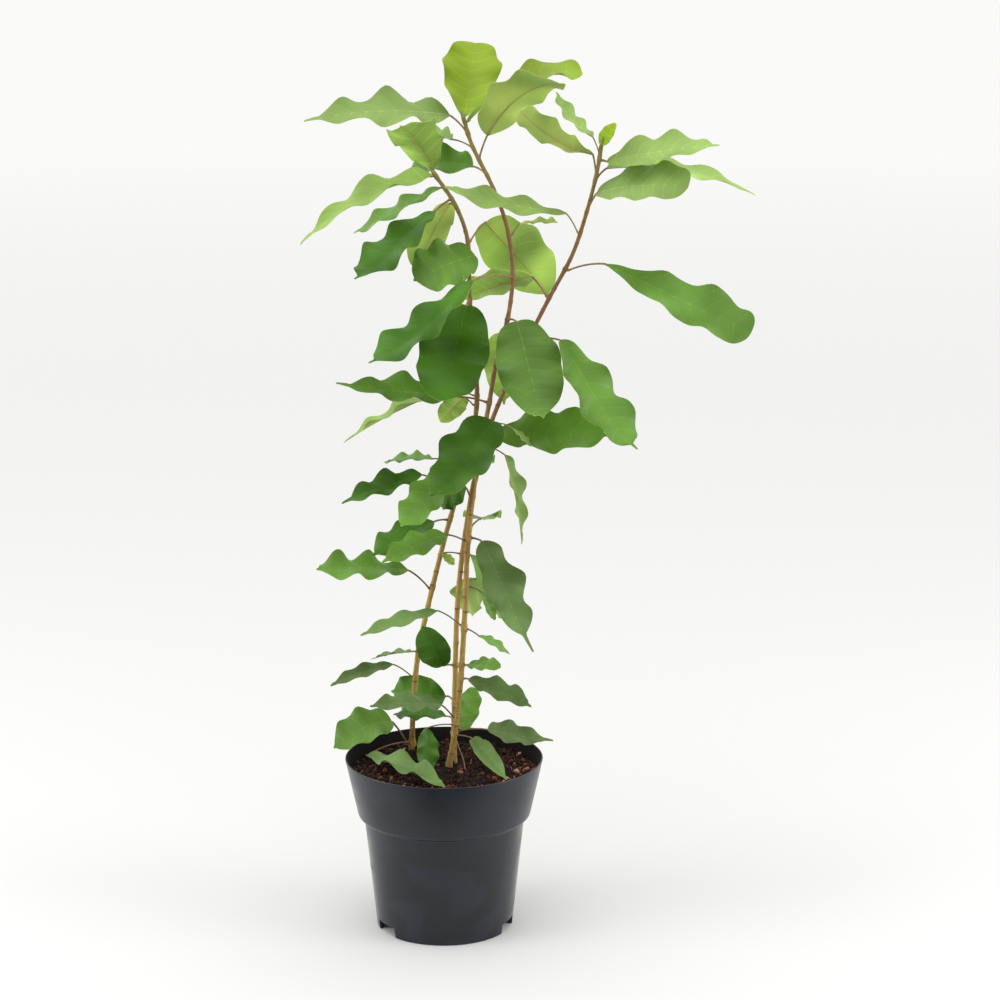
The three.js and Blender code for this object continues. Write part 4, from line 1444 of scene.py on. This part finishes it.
@dataclass(frozen=True)
class Pot:
    """The 17 cm nursery pot: a tapering body, a flared band on top and a notched foot ring."""

    height: float = 150.0
    rim_radius: float = 85.0
    band_foot_radius: float = 75.0
    band_foot_height: float = 104.0
    body_top_radius: float = 69.0
    body_top_height: float = 98.0
    foot_radius: float = 58.6
    wall: float = 1.6
    pad_radius: float = 38.0
    channel_height: float = 9.5
    base_slope: float = 3.0
    foot_ring_width: float = 3.0
    notch_angles: tuple[float, ...] = (-58.0, 70.0, 186.0)
    notch_width: float = 27.0
    notch_height: float = 9.0
    notch_depth: float = 16.0
    notch_narrowing: float = 0.94
    sides: int = 160
    smooth_below: float = 35.0  # degrees between two faces

    @staticmethod
    def rounded(corners: list[tuple[float, float, float]]) -> list[tuple[float, float]]:
        """Rounds the corners of a profile.

        Args:
            corners: The radius, height and rounding of each corner.

        Returns:
            The profile's points.
        """
        points = []
        places = [np.array(c[:2]) for c in corners]
        for before, here, after, (*_, rounding) in zip(
            [places[0], *places], places, [*places[1:], places[-1]], corners
        ):
            if rounding == 0:
                points.append(tuple(here))
                continue
            start = here + unit(before - here) * rounding
            end = here + unit(after - here) * rounding
            points += [tuple(p) for p in bezier(start, here, end, steps=6)]
        return points

    def profile(self) -> list[tuple[float, float]]:
        """Gives the wall's section from the middle of the underside round the rim to the floor."""
        top = self.channel_height + self.wall
        ring = self.foot_radius - self.foot_ring_width
        return self.rounded(
            [
                (0, 0, 0),
                (self.pad_radius, 0, 0.8),
                (self.pad_radius + self.base_slope, self.channel_height, 0.8),
                (ring, self.channel_height, 0.8),
                (ring, 0, 0.4),
                (self.foot_radius, 0, 1.2),
                (self.body_top_radius, self.body_top_height, 2.0),
                (self.band_foot_radius - 1.0, self.body_top_height + 1.6, 2.6),
                (self.band_foot_radius + 0.6, self.band_foot_height + 3, 2.0),
                (self.rim_radius, self.height, 0.7),
                (self.rim_radius - self.wall, self.height, 0.7),
                (self.band_foot_radius - self.wall, self.band_foot_height, 2.0),
                (self.body_top_radius - self.wall, self.body_top_height, 2.0),
                (self.foot_radius - self.wall, top, 1.0),
                (self.pad_radius + self.base_slope - self.wall, top, 0.8),
                (self.pad_radius - self.wall, self.wall, 0.8),
                (0, self.wall, 0),
            ]
        )

    def notch(self, angle: float) -> bpy.types.Object:
        """Makes the wedge that cuts one notch.

        Args:
            angle: Where it stands, in degrees from the front towards the right.

        Returns:
            The wedge.
        """
        turn = math.radians(angle)
        out = np.array([math.sin(turn), -math.cos(turn), 0.0])
        along = np.array([math.cos(turn), math.sin(turn), 0.0])
        points = []
        for height, share in (
            (-self.notch_height, 1.0), (self.notch_height, self.notch_narrowing)
        ):
            for away, to_side in ((-1, -1), (1, -1), (1, 1), (-1, 1)):
                spot = out * (self.foot_radius + away * self.notch_depth / 2) + UP * height
                points.append(spot + along * to_side * share * self.notch_width / 2)
        faces = [[3, 2, 1, 0], [4, 5, 6, 7], [0, 1, 5, 4], [1, 2, 6, 5], [2, 3, 7, 6], [3, 0, 4, 7]]
        wedge = Patchwork()
        wedge.add(np.array(points), np.array(faces), 0)
        return wedge.piece("notch", [])

    def build(self) -> None:
        """Builds the pot."""
        profile = np.array(self.profile())[1:-1]
        angles = np.arange(self.sides) / self.sides * FULL_TURN
        rings = np.stack(
            [
                profile[:, :1] * np.cos(angles),
                profile[:, :1] * np.sin(angles),
                np.repeat(profile[:, 1:], self.sides, axis=1),
            ],
            axis=-1,
        )
        rim_top = int(np.flatnonzero(profile[:, 1] > self.height - 0.01)[-1])
        inside = np.repeat(np.arange(len(profile) - 1) > rim_top, self.sides)
        shell = Patchwork()
        shell.add(rings, ring_faces(len(profile), self.sides), inside.astype(int))
        last = (len(profile) - 1) * self.sides
        rim = np.arange(self.sides)
        shell.faces += [rim[::-1].tolist(), (last + rim).tolist()]
        shell.finishes += [0, 1]
        peat = PottingMix()
        # The inside wall is painted near black: painted shade from the leaves above it.
        finishes = [MouldedPolypropylene().material(), peat.grit("pot_inside_painted_shade", peat.inner_wall_shade)]
        pot = shell.piece("pot_shell", finishes, self.smooth_below)
        for angle in self.notch_angles:
            wedge = self.notch(angle)
            cut = pot.modifiers.new("notch", "BOOLEAN")
            cut.operation, cut.solver, cut.object = "DIFFERENCE", "EXACT", wedge
            graph = bpy.context.evaluated_depsgraph_get()
            mesh = bpy.data.meshes.new_from_object(pot.evaluated_get(graph))
            pot.modifiers.clear()
            pot.data = mesh
            bpy.data.objects.remove(wedge)
        pot.data.name = pot.name
        pot.data.shade_smooth()
        pot.data.set_sharp_from_angle(angle=math.radians(self.smooth_below))
        dress(pot, "pot_plastic", "pot")


@dataclass(frozen=True)
class Soil:
    """The potting mix: an uneven surface a little under the rim, with chips and bits of twig."""

    top: float = 140.0
    edge_drop: float = 2.5
    radius: float = 81.0
    sunken: float = 0.6
    edge_from: float = 0.85  # where the surface starts to drop to the wall, in radii
    # The length, the height and the layer of the noise that makes each kind of unevenness.
    lumps: tuple[float, float, float] = (16.0, 1.6, 0.5)
    clods: tuple[float, float, float] = (5.0, 1.0, 3.5)
    crumbs: tuple[float, float, float] = (1.7, 0.7, 7.5)
    rings: int = 70
    ring_crowding: float = 0.8
    sides: int = 200
    chips: int = 2600
    chip_sizes: tuple[float, float] = (0.35, 0.5)  # the mean and the spread of their logarithm
    least_chip: float = 0.7
    largest_chip: float = 3.4
    chip_widths: tuple[float, float] = (0.45, 0.9)  # as a share of the length, and so the heights
    chip_heights: tuple[float, float] = (0.25, 0.6)
    chip_corners: tuple[float, float] = (0.7, 1.25)
    chip_lift: float = 0.35
    shade_steps: tuple[float, ...] = (0.5, 0.78, 0.96, 1.13)
    # The chips have shades of their own; the paler, redder ones are gathered near the rim on the
    # right and front left, painted light where light falls on the soil.
    redder: float = 0.28  # how much the place of a chip adds to its chance of a redder shade
    red_from: float = 0.55  # from how far out on, and over which stretch it comes in, in radii
    red_fade: float = 0.3
    red_ways: tuple[float, float] = (-5.0, -125.0)  # degrees from the right towards the back
    mix: PottingMix = PottingMix()
    dry_twig: Rind = Rind("#a5745c", 0.8)
    pale_stick: Rind = Rind("#c0a48e", 0.8)

    @staticmethod
    def uneven(right: float, back: float, kind: tuple[float, float, float]) -> float:
        """Gives how far one kind of unevenness raises a place."""
        length, height, layer = kind
        return noise.noise(Vector((right / length, back / length, layer))) * height

    def height(self, right: float, back: float) -> float:
        """Gives the height of the surface at a place."""
        away = math.hypot(right, back) / self.radius
        lumps = self.uneven(right, back, self.lumps)
        lumps += self.uneven(right, back, self.clods)
        drop = max(0.0, (away - self.edge_from) / (1 - self.edge_from))
        return self.top - self.edge_drop * drop + lumps - self.sunken

    def surface(self) -> None:
        """Builds the surface."""
        points = []
        for ring in range(1, self.rings + 1):
            reach = self.radius * (ring / self.rings) ** self.ring_crowding
            for side in range(self.sides):
                turn = side / self.sides * FULL_TURN
                right, back = reach * math.cos(turn), reach * math.sin(turn)
                crumbs = self.uneven(right, back, self.crumbs)
                points.append((right, back, self.height(right, back) + crumbs))
        bed = Patchwork()
        bed.add(np.array(points), ring_faces(self.rings, self.sides)[:, ::-1], 0)
        bed.faces.append(list(range(self.sides)))
        bed.finishes.append(0)
        piece = bed.piece("soil_surface", [self.mix.grit("peat_crumb", self.mix.crumb)], 70)
        dress(piece, "potting_mix", "soil")

    def strewn(self) -> None:
        """Strews chips over the surface: redder and paler ones near the rim, in front and right."""
        chance = np.random.default_rng(SEED)
        golden = (1 + math.sqrt(5)) / 2
        corners = unit(
            np.array(
                [
                    np.roll((a, b * golden, 0), turn)
                    for turn in range(3)
                    for a in (-1, 1)
                    for b in (-1, 1)
                ]
            )
        )
        faces = self.hull(corners)
        into = Patchwork()
        for _ in range(self.chips):
            reach = self.radius * 0.97 * math.sqrt(chance.uniform(0.01, 1))
            turn = chance.uniform(0, FULL_TURN)
            right, back = reach * math.cos(turn), reach * math.sin(turn)
            size = chance.lognormal(*self.chip_sizes)
            size = float(np.clip(size, self.least_chip, self.largest_chip))
            wide, high = chance.uniform(*self.chip_widths), chance.uniform(*self.chip_heights)
            box = size * np.array([1.0, wide, high])
            rough = corners * chance.uniform(*self.chip_corners, (len(corners), 1)) * box
            tilt = chance.normal(size=4)
            rough = rough @ self.turning(tilt / np.linalg.norm(tilt))
            lifted = self.height(right, back) + self.chip_lift * size
            # Paler chips near the rim in front and right paint in the light that falls there.
            bright = chance.uniform() + self.redder * self.catching_light(turn, reach)
            kind = int(np.searchsorted(self.shade_steps, bright))
            into.add(rough + np.array([right, back, lifted]), faces, kind)
        materials = [
            self.mix.grit(f"bark_chip_{i}", colour) for i, colour in enumerate(self.mix.chips)
        ]
        dress(into.piece("soil_chips", materials, 30), "potting_mix")

    def catching_light(self, turn: float, reach: float) -> float:
        """Gives how much redder and paler the chips are at a place, painted light: 1 near the rim,
        left in front and right.
        """
        rim = np.clip((reach / self.radius - self.red_from) / self.red_fade, 0, 1)
        spots = [math.cos(turn - math.radians(way)) for way in self.red_ways]
        return float(rim * np.clip((max(spots) - 0.5) / 0.4, 0, 1))

    @staticmethod
    def turning(quaternion: Array) -> Array:
        """Gives the rotation matrix of a unit quaternion."""
        w, x, y, z = quaternion
        return np.array(
            [
                [1 - 2 * (y * y + z * z), 2 * (x * y - w * z), 2 * (x * z + w * y)],
                [2 * (x * y + w * z), 1 - 2 * (x * x + z * z), 2 * (y * z - w * x)],
                [2 * (x * z - w * y), 2 * (y * z + w * x), 1 - 2 * (x * x + y * y)],
            ]
        )

    @staticmethod
    def hull(corners: Array) -> Array:
        """Gives the outward triangles of the twelve-cornered body that chips are made from."""
        near = 1.1  # its edges are shorter than this, and every other distance is longer
        count = len(corners)
        close = np.linalg.norm(corners[:, None] - corners[None], axis=2) < near
        faces = []
        for a in range(count):
            for b in range(a + 1, count):
                for c in range(b + 1, count):
                    if close[a, b] and close[b, c] and close[a, c]:
                        outward = np.cross(corners[b] - corners[a], corners[c] - corners[a])
                        faces.append([a, b, c] if outward @ corners[a] > 0 else [a, c, b])
        return np.array(faces)

    def twigs(self) -> None:
        """Builds the dry twig that leans by the middle stem, and the short pale stick."""
        into = Patchwork()
        rings, sides = 24, 8
        for finish, radius, line in (
            (0, 0.55, ((18, -2, 139), (16.5, -2.5, 148), (13, -2, 158), (11, -2, 165))),
            (1, 1.0, ((-44, 27, 141), (-39, 37, 142.6), (-35, 46, 142.4))),
        ):
            path = Path(catmull_rom(np.array(line, float)), np.array([0.0, -1.0, 0.4]), 40)
            shares = np.linspace(0, 1, rings)
            # Slimmer towards the tip, with small knots.
            radii = radius * (1 - 0.35 * shares) * (1 + 0.08 * np.sin(40 * shares))
            into.add(tube(path, shares, radii, sides), ring_faces(rings, sides), finish)
        materials = [
            self.dry_twig.material("dry_twig_skin"),
            self.pale_stick.material("weathered_stick"),
        ]
        dress(into.piece("soil_twigs", materials), "bark")

    def build(self) -> None:
        """Builds the surface and what lies on it."""
        self.surface()
        self.strewn()
        self.twigs()


@dataclass(frozen=True)
class Softbox:
    """A square lamp.

    Args:
        name: Its name.
        place: Where it hangs, in metres.
        aim: What it points at, in metres.
        size: The length of its side, in metres.
        watts: Its power.
    """

    name: str
    place: Triple
    aim: Triple
    size: float
    watts: float

    def hang(self) -> None:
        """Hangs it in the scene."""
        lamp = bpy.data.lights.new(self.name, "AREA")
        lamp.shape, lamp.size, lamp.energy = "SQUARE", self.size, self.watts
        box = bpy.data.objects.new(self.name, lamp)
        box.location = self.place
        aimed = Vector(self.aim) - Vector(self.place)
        box.rotation_euler = aimed.to_track_quat("-Z", "Y").to_euler()
        bpy.context.scene.collection.objects.link(box)


@dataclass(frozen=True)
class Studio:
    """A pale paper floor under soft light from above and from both sides, and the camera.

    The floor and its places are in metres. It is painted dark in front, painted shade that stands in
    for the unlit room there, which the pot mirrors.
    """

    lamps: tuple[Softbox, ...] = (
        Softbox("softbox_above", (-0.4, -0.7, 2.5), (0.05, 0.0, 0.3), 1.4, 9.5),
        Softbox("softbox_left", (-1.7, -0.5, 0.6), (0.0, 0.0, 0.2), 0.9, 11.5),
        Softbox("softbox_right", (1.7, -0.5, 0.6), (0.0, 0.0, 0.2), 0.9, 11.5),
    )
    # Painted light and shade: the floor is darker near the pot and lightens far off, so that the far
    # floor looks as bright as the backdrop although the lamps light it less.
    floor_near: str = "#e5e5e4"
    floor_far: str = "#fbfbfa"
    floor_fades: tuple[float, float] = (0.3, 6.0)
    # painted shade: the floor in front is dark, standing in for the unlit room that the pot mirrors
    front_painted_shade: str = "#3a3a3b"
    front_fades: tuple[float, float] = (-0.3, -0.185)
    floor_half: float = 40.0
    paper_roughness: float = 0.9
    paper_ior: float = 1.3
    sky: str = "#fcfcfb"
    sky_strength: float = 1.05
    front_strength: float = 0.8
    sky_fades: tuple[float, float] = (-0.95, -0.25)  # from the front backwards, on a unit sphere
    camera_place: Triple = (0.048, -2.36, 0.93)
    pitch: float = 13.2
    lens: float = 103.68
    sensor: float = 36.0

    def ground(self) -> None:
        """Lays the floor."""
        material, tree, place = new_tree("matt_paper")
        away = add_node(tree, "ShaderNodeVectorMath", {"Vector": place}, operation="LENGTH")
        parts = add_node(tree, "ShaderNodeSeparateXYZ", {"Vector": place})
        colour = linear(self.floor_far)
        for distance, nearer, (start, end) in (
            (away.outputs["Value"], self.floor_near, self.floor_fades),
            (parts.outputs["Y"], self.front_painted_shade, self.front_fades),
        ):
            fade = add_node(
                tree,
                "ShaderNodeMapRange",
                {"Value": distance, "From Min": start, "From Max": end},
            )
            mix = add_node(
                tree,
                "ShaderNodeMix",
                {"Factor": fade.outputs["Result"], 6: linear(nearer), 7: colour},
                data_type="RGBA",
            )
            colour = mix.outputs[2]
        close_tree(
            tree,
            {"Base Color": colour, "Roughness": self.paper_roughness, "IOR": self.paper_ior},
        )
        reach = self.floor_half
        corners = [(-reach, -reach, 0), (reach, -reach, 0), (reach, reach, 0), (-reach, reach, 0)]
        mesh = bpy.data.meshes.new("paper_floor")
        mesh.from_pydata(corners, [], [(0, 1, 2, 3)])
        mesh.materials.append(material)
        floor = bpy.data.objects.new("paper_floor", mesh)
        bpy.context.scene.collection.objects.link(floor)

    def surround(self) -> None:
        """Makes the room's light: even, and dimmer in front, where the room is open."""
        world = bpy.data.worlds.new("studio")
        bpy.context.scene.world = world
        world.use_nodes = True
        tree = world.node_tree
        tree.nodes.clear()
        way = add_node(tree, "ShaderNodeTexCoord").outputs["Generated"]
        parts = add_node(tree, "ShaderNodeSeparateXYZ", {"Vector": way})
        open_side, closed_side = self.sky_fades
        strength = add_node(
            tree,
            "ShaderNodeMapRange",
            {
                "Value": parts.outputs["Y"],
                "From Min": open_side,
                "From Max": closed_side,
                "To Min": self.front_strength,
                "To Max": self.sky_strength,
            },
        )
        sky = add_node(
            tree,
            "ShaderNodeBackground",
            {"Color": linear(self.sky), "Strength": strength.outputs["Result"]},
        )
        add_node(tree, "ShaderNodeOutputWorld", {"Surface": sky.outputs[0]})

    def camera(self) -> None:
        """Sets up the camera, a little above the crown and looking slightly down."""
        data = bpy.data.cameras.new("camera")
        data.lens, data.sensor_width = self.lens, self.sensor
        data.clip_start, data.clip_end = 0.05, 100.0
        camera = bpy.data.objects.new("camera", data)
        camera.location = self.camera_place
        camera.rotation_euler = (math.radians(90 - self.pitch), 0.0, 0.0)
        bpy.context.scene.collection.objects.link(camera)
        bpy.context.scene.camera = camera

    def build(self) -> None:
        """Builds the studio."""
        self.ground()
        self.surround()
        for lamp in self.lamps:
            lamp.hang()
        self.camera()
        view = bpy.context.scene.view_settings
        view.view_transform, view.look, view.exposure, view.gamma = "Standard", "None", 0.0, 1.0


def main() -> None:
    """Builds the plant around the frame."""
    logging.basicConfig(level=logging.INFO, format="%(name)s %(message)s")
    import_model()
    Pot().build()
    Soil().build()
    bark = YoungBark()
    bands = bark.materials() + [Rind("#9cab52").material("bud_scale")]
    for stem in STEMS:
        name = stem.side.value
        dress(stem.build(bands, len(bark.bands)), "bark", f"stem_{name}")
    Foliage(LeafMaker()).build()
    Studio().build()


if __name__ == "__main__":
    main()
